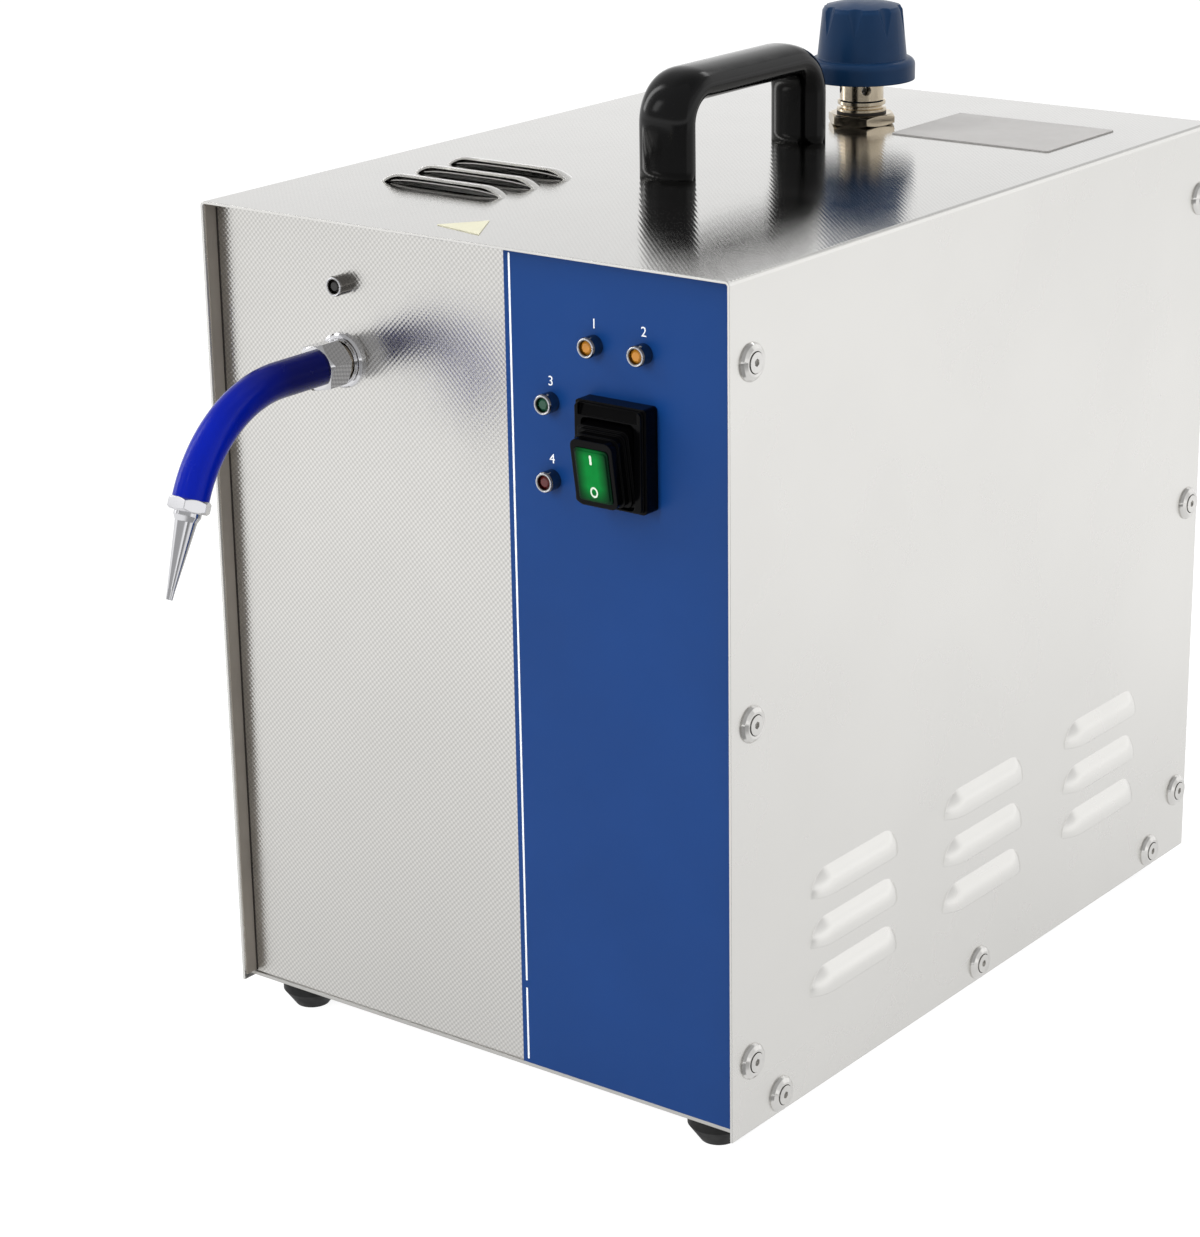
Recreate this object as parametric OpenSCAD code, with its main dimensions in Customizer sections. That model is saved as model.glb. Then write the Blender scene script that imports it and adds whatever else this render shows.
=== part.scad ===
// Jewelry steam cleaner: a sheet-steel case with a boiler, a bent steam spout, a control panel
// with lamps and a rocker switch, a carrying handle and a screw-on filler cap.
// All sizes are in millimetres. +X is to the right seen from the front, +Y to the back, +Z up.
// The origin is the middle of the whole footprint, on the surface that the machine stands on.

/* [Case] */
// Outer width of the hood
hood_w = 250; // [240:1:300]
// Depth of the hood, from its front edge to its rear edge
hood_d = 355; // [345:1:420]
// Height of the hood
hood_h = 330; // [320:1:380]
// Thickness of the hood's sheet
hood_t = 1; // [0.8:0.1:1.5]
// Outer radius of the hood's top bends
bend_r = 2; // [1.8:0.1:5]
// Thickness of the front and rear panels' sheet
panel_t = 1.2; // [0.8:0.1:2]
// Distance of the front panel behind the hood's front edge
front_recess = 7; // [6.5:0.5:12]
// Distance of the rear panel before the hood's rear edge
rear_recess = 3; // [2:0.5:6]
// Depth of the panels' side and top flanges
panel_flange = 17; // [14:1:22]
// Thickness of the base tray's sheet
tray_t = 1.5; // [1:0.1:2.5]
// Height of the base tray's upturned flanges
tray_flange = 18; // [16:1:21]

/* [Feet] */
// Height of a rubber foot
foot_h = 12; // [8:1:20]
// Diameter of a foot at its top
foot_d = 24; // [20:1:30]
// Diameter of a foot's flat sole
sole_d = 14; // [12:1:20]
// Distance of a foot's centre from the hood's side
foot_in_x = 20.5; // [18:0.5:40]
// Distance of a foot's centre from the hood's front and rear edges
foot_in_y = 20; // [18:1:50]

// Height of a foot's upright rim
foot_rim = 5; // [2:0.5:6]

/* [Case screws] */
// Diameter of a cup washer
washer_d = 14.3; // [12:0.1:15]
// Height of a cup washer
washer_h = 2.4; // [1.5:0.1:3]
// Diameter of a case screw's shank
screw_d = 4; // [3:0.5:4.5]
// Diameter of a case screw's head
screw_head_d = 7.6; // [7:0.1:9]
// Length of a case screw's shank
screw_l = 10; // [6:1:12]
// Distance of the front screw column from the hood's front edge
screw_front_y = 13; // [12:0.5:16]
// Distance of the rear screw column from the hood's rear edge
screw_rear_y = 9; // [8:0.5:12]
// Height of the bottom screw row above the hood's lower edge
screw_row_z = 7.6; // [7:0.2:10]
// Height of the lowest screw of the columns above the hood's lower edge
column_low_z = 29; // [28:1:40]
// Distance of the highest screw of the columns below the hood's top
column_top_drop = 31; // [20:1:50]
// Distance of the outer screws of the bottom row from the hood's edges
row_end_y = 32; // [28:1:50]

/* [Louvres] */
// Length of a louvre
louvre_l = 61; // [45:1:66]
// Height of a louvre's opening along the sheet
louvre_w = 10.5; // [8:0.5:12]
// Height of a louvre above the sheet
louvre_rise = 4; // [3:0.2:5]
// Distance between louvres in a column
louvre_pitch = 20.4; // [17:0.2:24]
// Number of louvres in a column
louvre_rows = 3; // [1:1:4]
// Number of louvre columns on a side
louvre_cols = 3; // [1:1:3]
// Distance between the columns' starts
louvre_col_pitch = 96; // [80:1:100]
// Distance of the first column from the hood's front edge
louvre_start_y = 52; // [45:1:60]
// Height of the lowest side louvre above the hood's lower edge
louvre_low_z = 40; // [30:1:60]
// Distance of the top louvres' middle from the hood's left side
louvre_top_x = 65; // [50:1:75]
// Distance of the first top louvre's mouth from the hood's front edge
louvre_top_y = 67; // [50:1:80]

/* [Handle] */
// Distance between the handle's legs
handle_span = 92; // [80:1:110]
// Overall height of the handle
handle_h = 42; // [38:1:60]
// Width of the handle's section, across the bar
handle_w = 25; // [20:1:28]
// Thickness of the handle's section
handle_t = 13.5; // [12:0.5:16]
// Inner radius of the handle's bends
handle_bend = 7.5; // [4:0.5:12]
// Distance of the handle's middle from the hood's front edge
handle_y = 181; // [170:1:190]
// Diameter of the handle's screws
handle_screw_d = 5; // [4:0.5:6]

/* [Filler] */
// Distance of the filler's axis from the hood's front edge
filler_y = 275; // [270:1:285]
// Distance across the flats of the filler's nut
filler_af = 26; // [25:1:32]
// Height of the filler's nut
filler_nut_h = 4.6; // [4:0.2:8]
// Outer diameter of the filler neck
neck_d = 20; // [18.6:0.2:21]
// Diameter of the cap's threaded spigot
spigot_d = 16; // [14:0.5:16.5]
// Length of the cap's threaded spigot
spigot_l = 14; // [12:1:20]
// Thread pitch of the cap
cap_pitch = 2; // [1:0.25:3]
// Outer diameter of the cap's valve body
valve_d = 18.6; // [18:0.2:21]
// Height of the knob's underside above the case
knob_gap = 19; // [17:0.5:24]
// Diameter of the knob's skirt
skirt_d = 45; // [40:1:50]
// Height of the knob's skirt
skirt_h = 9; // [6:0.5:12]
// Diameter of the knob's body at the skirt
knob_d = 38; // [34:1:41]
// Diameter of the knob's body at its top
knob_top_d = 34; // [30:1:37]
// Height of the knob with its skirt
knob_h = 33; // [30:1:42]
// Number of finger scallops round the knob
scallops = 8; // [6:1:10]
// Lift of the relief poppet
relief_lift = 3; // [2:0.5:4]

/* [Spout] */
// Distance of the spout's axis from the hood's left side
spout_x = 64.4; // [50:1:90]
// Distance of the spout's axis below the hood's top
spout_drop = 55.6; // [50:1:90]
// Diameter of the spout's flange
spout_flange_d = 21.5; // [20:0.5:28]
// Distance across the flats of the union nut
union_af = 17; // [16:1:19]
// Length of the union nut
union_l = 13; // [11:1:18]
// Outer diameter of the steam tube
tube_d = 8; // [6:0.5:9]
// Outer diameter of the blue sleeve
sleeve_d = 14; // [12:0.5:16]
// Straight length of the sleeve before the bend
sleeve_straight = 20; // [10:1:40]
// Radius of the spout's bend, at its middle line
spout_bend_r = 54; // [40:1:80]
// Angle of the spout's bend
spout_bend_a = 68; // [45:1:80]
// Length of the collar
collar_l = 5; // [4:0.5:8]
// Distance across the flats of the collar
collar_af = 14.5; // [14:0.5:17]
// Length of the nozzle
nozzle_l = 33; // [25:1:45]
// Diameter of the nozzle at its root
nozzle_d = 10.5; // [8:0.5:13]
// Diameter of the nozzle at its tip
nozzle_tip_d = 2.6; // [2:0.1:4]

/* [Control panel] */
// Width of the blue overlay
overlay_w = 104; // [90:1:120]
// Thickness of the overlay
overlay_t = 0.6; // [0.4:0.1:1]
// Diameter of a lamp bezel
bezel_d = 7.8; // [7:0.2:10]
// How far a lamp bezel stands out
bezel_l = 5.5; // [4:0.5:8]
// Distance of the pilot lamp above the spout's axis
pilot_rise = 29.8; // [24:1:40]
// Width of the switch housing
switch_w = 31.5; // [30:0.5:36]
// Height of the switch housing
switch_h = 39; // [38:1:46]
// How far the switch housing stands out
switch_out = 9; // [7:0.5:12]
// Width of the rocker's boot
boot_w = 23; // [20:0.5:25]
// Height of the rocker's boot
boot_h = 30; // [26:0.5:32]
// Swing of the rocker between on and off
rocker_swing = 18; // [12:1:22]

/* [Boiler] */
// Diameter of the boiler
boiler_d = 150; // [140:1:160]
// Length of the boiler's straight shell
boiler_l = 190; // [180:1:200]
// Wall of the boiler
boiler_t = 2; // [1.5:0.1:3]
// Height of the boiler's axis above the hood's lower edge
boiler_z = 180; // [175:1:195]
// Diameter of the steam and drain pipes
pipe_d = 8; // [6:0.5:9]

// Lift of the steam valve's plunger
plunger_lift = 3; // [2:0.5:4]

/* [Rear] */
// Distance of the drain's axis above the hood's lower edge
drain_z = 58; // [50:1:70]
// Length of the drain valve's body
drain_l = 26; // [22:1:32]
// Length of the drain valve's outlet
outlet_l = 12; // [8:1:16]
// Diameter of the drain valve's outlet
outlet_d = 13; // [10:0.5:15]
// Length of the drain lever from its axis
lever_l = 42; // [34:1:60]
// Diameter of the foot-switch jack's bore
jack_d = 6.4; // [6:0.1:7]
// Distance of the mains inlet from the hood's side
inlet_x = 55; // [45:1:70]

/* [Hidden] */
$fn = 48;
eps = 0.01;
// radial clearance of a running fit, of parts that only pass each other, and of screw holes
fit = 0.05;
gap = 0.35;
hole_gap = 0.25;

// the spout's reach before the front panel, and the drain's behind the rear panel
flange_t = 3;
sleeve_from = flange_t + union_l;
bend_from = sleeve_from + sleeve_straight;
spout_reach = bend_from + spout_bend_r * sin(spout_bend_a) + (collar_l + nozzle_l) * cos(spout_bend_a)
    + nozzle_tip_d / 2 * sin(spout_bend_a);
drain_flange_t = 3;
drain_reach = drain_flange_t + drain_l + outlet_l;

// the case's planes
front_y = (spout_reach - front_recess - hood_d - drain_reach + rear_recess) / 2;
panel_y = front_y + front_recess;
rear_y = front_y + hood_d;
rear_panel_y = rear_y - rear_recess;
base_z = foot_h;
top_z = base_z + hood_h;
floor_z = base_z + tray_t;
in_x = hood_w / 2 - hood_t;
in_z = top_z - hood_t;
left_x = -hood_w / 2;

// case screws: a front and a rear column and a bottom row on each side
column_z = [column_low_z, (column_low_z + hood_h - column_top_drop) / 2, hood_h - column_top_drop];
side_places = concat(
    [for (z = column_z) [front_y + screw_front_y, base_z + z]],
    [for (z = column_z) [rear_y - screw_rear_y, base_z + z]],
    [for (y = [row_end_y, hood_d / 2, hood_d - row_end_y]) [front_y + y, base_z + screw_row_z]]
);

washer_seat = 0.6;

// louvre: an arc of this radius gives the width and the rise
louvre_r = (louvre_w * louvre_w + louvre_rise * louvre_rise) / (2 * louvre_rise);

// the top: handle legs, filler and the two stickers
handle_mid_y = front_y + handle_y;
handle_screw_up = 9;
oval_end = handle_t / 3;
oval_x = handle_w / 2 - oval_end;
oval_r = (oval_x * oval_x + handle_t * handle_t / 4 - oval_end * oval_end) / (handle_t - 2 * oval_end);
fill_y = front_y + filler_y;
plate_size = [75, 55, 0.5];
plate_x = hood_w / 2 - 62.5;
plate_gap = 12;
patch_t = 0.3;
patch_points = [[-19, 16], [-7, 32], [5, 11]];

// filler cap, measured up from the case's top
gasket_t = 1;
seat_top = filler_nut_h + gasket_t;
chamber_d = 11;
chamber_top = knob_gap + 3;
plug_top = knob_gap + 6;
chamber_floor = seat_top - spigot_l + 4;
relief_hole_d = 4;
poppet_t = 3;
stem_d = 4;
skirt_wall = 2.5;
skirt_round = 3;
scallop_d = 12.3;
scallop_lean = 6;
scallop_l = 14;
dome_rise = 2.6;
dome_r = (knob_top_d * knob_top_d / 4 + dome_rise * dome_rise) / (2 * dome_rise);

// spout
spout_pos = [left_x + spout_x, top_z - spout_drop];
bulkhead_d = 14;
bulkhead_back = 14;
bulkhead_out = flange_t + 7;
ferrule_t = 2;
union_gap = 1.6;
backnut_t = 5;
backnut_af = 19;
tube_bore = 2.5;
tube_in = 6;
nozzle_bore = 1.2;

// control panel: the overlay's left edge, and the lamps measured from it and from the hood's top
overlay_x = in_x - overlay_w;
lamp_from = [[41.1, 32.6], [63.3, 32.6], [20.8, 56.7], [20.8, 86.1]];
lamp_places = [for (l = lamp_from) [overlay_x + l[0], top_z - l[1]]];
pilot_aside = 1.5;
pilot_place = [spout_pos[0] + pilot_aside, spout_pos[1] + pilot_rise];
shank_d = 6;
shank_l = 9;
lens_d = bezel_d - 2.2;
lens_t = 2.5;
lamp_nut_t = 2.5;
lamp_nut_af = 9;
switch_from = [53.2, 70.6];
switch_pos = [overlay_x + switch_from[0], top_z - switch_from[1]];
boot_drop = 2.2;
boot_lift = 8.5;
boot_step = 5;
boot_sink = 4;
boot_root = 2;
boot_edge = 1;
pivot_d = 2.4;
pivot_in = 1.5;
switch_body_w = 26;
switch_body_h = 36;
switch_depth = 26;
terminal = [6, 0.8, 8];
lens_size = [boot_w - 8, boot_h - 9.5];
lens_drop = 0.4;

// the well that the boot swings in
half_swing = rocker_swing / 2;
well_h = boot_h * cos(half_swing) + 2 * (boot_sink + boot_edge) * sin(half_swing) + 2 * gap;
well_depth = boot_h / 2 * sin(half_swing) + boot_root * cos(half_swing) + gap;

// boiler
boiler_axis = base_z + boiler_z;
dome_l = 24;
boiler_y = front_y + hood_d / 2 + 20;
boiler_bulge = (boiler_d * boiler_d / 4 + dome_l * dome_l) / (2 * dome_l);
saddle_t = 3;
saddle_w = 110;
saddle_gap = 110;
heater_flange_d = 56;
element_d = 8;

// steam valve, on the spout's axis
valve_y = panel_y + 72;
valve_block = 28;
valve_low = 12;
valve_top = 10;
valve_port_d = 4;
coil_lug = 8;
coil_h = 34;
coil_w = 32;
guide_d = 12;
guide_wall = 0.8;
plunger_l = 20;
plunger_foot = 4;
spring_l = 4 * plunger_lift;
pipe_bend = 14;
pipe_wall = 1;
steam_drop_y = valve_y + valve_block / 2 + 30;
port_d = 14;
switch_can_d = 30;

// rear fittings
drain_y = boiler_y + boiler_l / 2 - 12;
drain_axis = base_z + drain_z;
stem_pin_d = 6;
lever_w = 12;
lever_t = 2.5;
inlet_flange = [50, 30];
inlet_body = [27, 20];
inlet_cavity = [24, 16.4];
inlet_depth = 20;
inlet_cavity_depth = 16;
inlet_screw_x = 20;
inlet_pos = [left_x + inlet_x, base_z + 70];
jack_pos = [left_x + inlet_x, base_z + 120];
jack_l = 26;
jack_thread_d = 11;
rating_size = [70, 44, 0.5];
rating_pos = [left_x + inlet_x + 5, base_z + 190];
vent_slots = 6;
vent_size = [60, 5];
vent_pitch = 13;
vent_pos = [in_x - 65, base_z + 190];

// control board on the tray
board_size = [70, 90, 1.6];
board_stand = 8;
boss_d = 7;
board_in_y = 40;
board_x = in_x - 12 - board_size[0];
board_y = panel_y + board_in_y;
board_edge = 12;
transformer = [32, 28, 25];
relay = [13, 22, 16];
relay_pitch = relay[0] + 4;
relay_y = board_edge + transformer[1] + 15;

// ---- places: each puts its children's +Z outwards from a face, with their +Y up ----

module on_front(place, y = panel_y) {
    translate([place[0], y, place[1]]) rotate([90, 0, 0]) children();
}

module on_rear(place) {
    translate([place[0], rear_panel_y, place[1]]) rotate([90, 0, 180]) children();
}

module on_sides(place) {
    for (s = [-1, 1]) translate([s * hood_w / 2, place[0], place[1]]) rotate([0, s * 90, 0]) children();
}

module on_top(x, y) {
    translate([x, y, top_z]) children();
}

module case_screw_places() {
    for (p = side_places) on_sides(p) children();
}

module spout_frame() {
    on_front(spout_pos) children();
}

// the end of the spout's bend, with +Z along the nozzle
module spout_end() {
    spout_frame()
        translate([0, -spout_bend_r * (1 - cos(spout_bend_a)), bend_from + spout_bend_r * sin(spout_bend_a)])
            rotate([spout_bend_a, 0, 0]) children();
}

// ---- shapes that repeat ----

module bore(d, l) {
    translate([0, 0, -eps]) cylinder(d = d, h = l + 2 * eps);
}

module ring(d, inner_d, h) {
    linear_extrude(height = h) difference() {
        circle(d = d);
        circle(d = inner_d);
    }
}

// a hexagon with both ends chamfered to a little over its flats
module hexagon(af, h, cut = 1) {
    across = af / cos(30);
    intersection() {
        cylinder(d = across, h = h, $fn = 6);
        rotate_extrude() polygon([
            [0, 0], [af / 2 - cut / 4, 0], [across / 2 + eps, cut], [across / 2 + eps, h - cut],
            [af / 2 - cut / 4, h], [0, h]
        ]);
    }
}

module hex_nut(af, h, hole_d) {
    difference() {
        hexagon(af, h, min(1, h / 4));
        bore(hole_d, h);
    }
}

module rounded_square(w, h, r) {
    square([w - 2 * r, h], center = true);
    square([w, h - 2 * r], center = true);
    for (sx = [-1, 1]) for (sy = [-1, 1]) translate([sx * (w / 2 - r), sy * (h / 2 - r)]) circle(r = r);
}

module rounded_block(w, h, l, r) {
    linear_extrude(height = l) rounded_square(w, h, r);
}

module rounded_plate(size, r) {
    rounded_block(size[0], size[1], size[2], r);
}

// a door-shaped outline: square foot, round top corners
module arch_outline(w, h, r) {
    translate([-w / 2, 0]) square([w, h - r]);
    translate([-w / 2 + r, 0]) square([w - 2 * r, h]);
    for (s = [-1, 1]) translate([s * (w / 2 - r), h - r]) circle(r = r);
}

// the hood's sheet: the outline in front less the outline that is one sheet smaller
module hood_sheet() {
    translate([0, rear_y, base_z]) rotate([90, 0, 0]) linear_extrude(height = hood_d) difference() {
        arch_outline(hood_w, hood_h, bend_r);
        translate([0, -eps]) arch_outline(2 * in_x, hood_h - hood_t + eps, bend_r - hood_t);
    }
}

// a quarter of a lozenge turned about X: its flat mouth faces -Y and it bulges out of the sheet at z = 0
module louvre_form(shrink) {
    r = louvre_r - shrink;
    straight = louvre_l - 2 * louvre_w;
    translate([0, 0, louvre_rise - louvre_r]) rotate([0, -90, 0])
        rotate_extrude(angle = 90) intersection() {
            translate([0, -louvre_l]) square([louvre_r + 1, 2 * louvre_l]);
            union() {
                for (s = [-1, 1]) translate([0, s * straight / 2]) circle(r = r);
                translate([-r, -straight / 2]) square([2 * r, straight]);
            }
        }
}

module louvre_skin() {
    intersection() {
        louvre_form(0);
        translate([-louvre_l, -1, -hood_t]) cube([2 * louvre_l, 2 * louvre_w, louvre_rise + hood_t + 1]);
    }
}

module louvre_places() {
    for (s = [0, 1]) mirror([s, 0, 0])
        for (c = [0:louvre_cols - 1]) for (r = [0:louvre_rows - 1])
            translate([
                hood_w / 2, front_y + louvre_start_y + louvre_l / 2 + c * louvre_col_pitch,
                base_z + louvre_low_z + r * louvre_pitch
            ]) rotate([90, 0, 90]) children();
    for (r = [0:louvre_rows - 1])
        on_top(left_x + louvre_top_x, front_y + louvre_top_y + r * louvre_pitch) children();
}

module screw_shank(d, head_d, head_h, l, key) {
    difference() {
        union() {
            cylinder(d = head_d, h = head_h);
            translate([0, 0, -l]) cylinder(d = d, h = l + eps);
        }
        translate([0, 0, head_h / 3]) cylinder(d = key, h = head_h, $fn = 6);
    }
}

// ---- case ----

module hood() {
    color([0.80, 0.79, 0.77]) difference() {
        union() {
            hood_sheet();
            louvre_places() louvre_skin();
        }
        louvre_places() louvre_form(hood_t);
        case_screw_places() translate([0, 0, -hood_t]) bore(screw_d + 2 * hole_gap, hood_t);
        for (s = [-1, 1]) on_top(0, handle_mid_y + s * handle_span / 2)
            translate([0, 0, -hood_t]) bore(handle_screw_d + 2 * hole_gap, hood_t);
        on_top(0, fill_y) translate([0, 0, -hood_t]) bore(neck_d + 2 * gap, hood_t);
    }
}

// a panel with a flange along its sides and top; turn is 1 when the flanges point to +Y, -1 to -Y
module flanged_panel(face_y, turn) {
    foot = base_z + tray_flange + 2;
    back = turn > 0 ? face_y : face_y - panel_flange;
    plate = turn > 0 ? face_y : face_y - panel_t;
    translate([-in_x, plate, floor_z]) cube([2 * in_x, panel_t, in_z - floor_z]);
    for (s = [-1, 1]) translate([s > 0 ? in_x - panel_t : -in_x, back, foot])
        cube([panel_t, panel_flange, in_z - foot]);
    translate([-in_x, back, in_z - panel_t]) cube([2 * in_x, panel_flange, panel_t]);
}

module side_screw_bores(wall) {
    for (p = side_places) on_sides(p) translate([0, 0, -hood_t - wall]) bore(screw_d, wall);
}

module front_panel() {
    color([0.78, 0.77, 0.75]) difference() {
        intersection() {
            flanged_panel(panel_y, 1);
            corner_trim();
        }
        side_screw_bores(panel_t);
        on_front(spout_pos) translate([0, 0, -panel_t]) bore(bulkhead_d + 2 * hole_gap, panel_t);
        for (p = concat(lamp_places, [pilot_place]))
            on_front(p) translate([0, 0, -panel_t]) bore(shank_d + 2 * hole_gap, panel_t);
        on_front(switch_pos) translate([0, 0, -panel_t - eps])
            rounded_block(switch_body_w + 2 * gap, switch_body_h + 2 * gap, panel_t + 2 * eps, 1);
    }
}

// the hood's inner outline, so that the flanges' corners follow its bends
module corner_trim() {
    translate([0, rear_y, base_z]) rotate([90, 0, 0]) linear_extrude(height = hood_d)
        arch_outline(2 * in_x, hood_h - hood_t, bend_r - hood_t);
}

module control_overlay() {
    color([0.16, 0.29, 0.53]) difference() {
        intersection() {
            translate([overlay_x, panel_y - overlay_t, floor_z])
                cube([overlay_w, overlay_t, in_z - floor_z]);
            corner_trim();
        }
        for (p = lamp_places) on_front(p) bore(shank_d + 2 * hole_gap, overlay_t);
        on_front(switch_pos) translate([0, 0, -eps])
            rounded_block(switch_body_w + 2 * gap, switch_body_h + 2 * gap, overlay_t + 2 * eps, 1);
    }
}

module rear_panel() {
    color([0.74, 0.73, 0.71]) difference() {
        intersection() {
            flanged_panel(rear_panel_y, -1);
            corner_trim();
        }
        side_screw_bores(panel_t);
        on_rear([0, drain_axis]) translate([0, 0, -panel_t]) bore(pipe_d + 2 * gap, panel_t);
        on_rear(jack_pos) translate([0, 0, -panel_t]) bore(jack_thread_d + 2 * hole_gap, panel_t);
        on_rear(inlet_pos) translate([0, 0, -panel_t - eps])
            rounded_block(inlet_body[0] + 2 * gap, inlet_body[1] + 2 * gap, panel_t + 2 * eps, 1);
        for (i = [0:vent_slots - 1]) on_rear([vent_pos[0], vent_pos[1] + i * vent_pitch])
            translate([0, 0, -panel_t - eps])
                rounded_block(vent_size[0], vent_size[1], panel_t + 2 * eps, vent_size[1] / 2 - eps);
    }
}

module foot_places() {
    for (sx = [-1, 1]) for (y = [foot_in_y, hood_d - foot_in_y])
        translate([sx * (hood_w / 2 - foot_in_x), front_y + y, 0]) children();
}

module base_tray() {
    y_len = rear_panel_y - panel_t - panel_y;
    color([0.70, 0.70, 0.69]) difference() {
        union() {
            translate([-in_x, panel_y - overlay_t, base_z])
                cube([2 * in_x, rear_panel_y - panel_y + overlay_t, tray_t]);
            difference() {
                translate([-in_x, panel_y + panel_t, base_z])
                    cube([2 * in_x, y_len - panel_t, tray_flange]);
                translate([-in_x + tray_t, panel_y + panel_t + tray_t, base_z])
                    cube([2 * (in_x - tray_t), y_len - panel_t - 2 * tray_t, tray_flange + 1]);
            }
            for (p = board_holes()) translate([p[0], p[1], base_z])
                cylinder(d = boss_d, h = tray_t + board_stand);
        }
        side_screw_bores(tray_t);
        foot_places() translate([0, 0, base_z]) bore(screw_d, tray_t);
        for (i = [-2:2]) translate([i * 30, boiler_y, base_z - eps])
            rounded_block(5, 70, tray_t + 2 * eps, 2.4);
    }
}

// a domed rubber foot with a washer seat for its screw
module foot(sx, rear) {
    y = rear ? hood_d - foot_in_y : foot_in_y;
    color([0.06, 0.06, 0.06]) translate([sx * (hood_w / 2 - foot_in_x), front_y + y, 0]) difference() {
        rotate_extrude() polygon([
            [0, 0], [sole_d / 2, 0], [foot_d / 2, foot_h - foot_rim], [foot_d / 2, foot_h], [0, foot_h]
        ]);
        bore(screw_head_d + 1, foot_h / 2);
        bore(screw_d + 2 * hole_gap, foot_h);
    }
}

module foot_front_left() { foot(-1, false); }
module foot_front_right() { foot(1, false); }
module foot_rear_left() { foot(-1, true); }
module foot_rear_right() { foot(1, true); }

module foot_screws() {
    color([0.65, 0.65, 0.65]) foot_places() translate([0, 0, foot_h / 2]) mirror([0, 0, 1])
        screw_shank(screw_d, screw_head_d, foot_h / 4, foot_h / 2 + tray_t + 2, 2.5);
}

module cup_washer() {
    difference() {
        rotate_extrude() polygon([
            [screw_d / 2 + hole_gap, 0], [washer_d / 2, 0], [washer_d / 2, 0.5],
            [washer_d / 2 - 0.7, washer_h * 0.6], [screw_head_d / 2 + 1.3, washer_h],
            [screw_head_d / 2 + 0.3, washer_h - 0.2], [screw_head_d / 2 + 0.1, washer_seat],
            [screw_d / 2 + hole_gap, washer_seat]
        ]);
    }
}

module cup_washers() {
    color([0.72, 0.71, 0.70]) case_screw_places() cup_washer();
}

module case_screws() {
    color([0.62, 0.61, 0.60]) {
        case_screw_places() translate([0, 0, washer_seat])
            screw_shank(screw_d, screw_head_d, washer_h - 0.5, screw_l, 3);
    }
}

// ---- top ----

module handle_flank(side) {
    translate([0, side * (handle_t / 2 - oval_r)]) circle(r = oval_r, $fn = 180);
}

// an oval of four arcs: two small ends joined by two flat flanks
module handle_section() {
    for (s = [-1, 1]) translate([s * oval_x, 0]) circle(r = oval_end);
    intersection() {
        handle_flank(1);
        handle_flank(-1);
        square([2 * oval_x * oval_r / (oval_r - oval_end), handle_t], center = true);
    }
}

module handle() {
    bend = handle_bend + handle_t / 2;
    leg = handle_h - handle_bend - handle_t;
    color([0.03, 0.03, 0.03]) on_top(0, handle_mid_y) difference() {
        union() {
            for (s = [0, 1]) mirror([0, s, 0]) {
                translate([0, handle_span / 2, 0]) linear_extrude(height = leg) handle_section();
                translate([0, handle_span / 2 - bend, leg]) rotate([90, 0, 90]) rotate_extrude(angle = 90)
                    translate([bend, 0]) rotate(90) handle_section();
            }
            translate([0, handle_span / 2 - bend, handle_h - handle_t / 2]) rotate([90, 0, 0])
                linear_extrude(height = handle_span - 2 * bend) handle_section();
        }
        for (s = [-1, 1]) translate([0, s * handle_span / 2, 0]) bore(handle_screw_d, handle_screw_up + 1);
    }
}

module handle_screws() {
    washer_t = 1.2;
    color([0.65, 0.65, 0.65]) for (s = [-1, 1])
        translate([0, handle_mid_y + s * handle_span / 2, in_z - washer_t]) rotate([180, 0, 0]) {
            screw_shank(handle_screw_d, 9, 3.5, handle_screw_up + hood_t + washer_t, 4);
            translate([0, 0, -washer_t]) ring(13, handle_screw_d - eps, washer_t);
        }
}

module top_plate() {
    color([0.66, 0.66, 0.66]) on_top(plate_x, fill_y + plate_gap) rounded_plate(plate_size, 1);
}

module top_patch() {
    color([0.84, 0.82, 0.66]) on_top(0, front_y) linear_extrude(height = patch_t) polygon(patch_points);
}

module rating_plate() {
    color([0.62, 0.62, 0.63]) on_rear(rating_pos) rounded_plate(rating_size, 1.5);
}

// ---- filler and its cap ----

module filler_neck() {
    foot_z = boiler_axis + boiler_d / 2 - 3 - top_z;
    color([0.72, 0.62, 0.42]) on_top(0, fill_y) difference() {
        translate([0, 0, foot_z]) ring(neck_d, spigot_d + 2 * fit, filler_nut_h - foot_z);
        translate([0, neck_d, boiler_axis - top_z]) rotate([90, 0, 0])
            cylinder(d = boiler_d, h = 2 * neck_d);
    }
}

module filler_nut() {
    color([0.76, 0.68, 0.50]) on_top(0, fill_y) rotate([0, 0, 12])
        hex_nut(filler_af, filler_nut_h, neck_d + 2 * fit);
}

module cap_gasket() {
    color([0.08, 0.07, 0.06]) on_top(0, fill_y) translate([0, 0, filler_nut_h])
        ring(neck_d + 1, spigot_d + 1, gasket_t);
}

// one tooth of the spigot's thread, drawn as a ring
function thread_tooth(crest, root) = [
    [root, cap_pitch * 0.1], [crest, cap_pitch * 0.4], [crest, cap_pitch * 0.6], [root, cap_pitch * 0.9]
];

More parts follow.
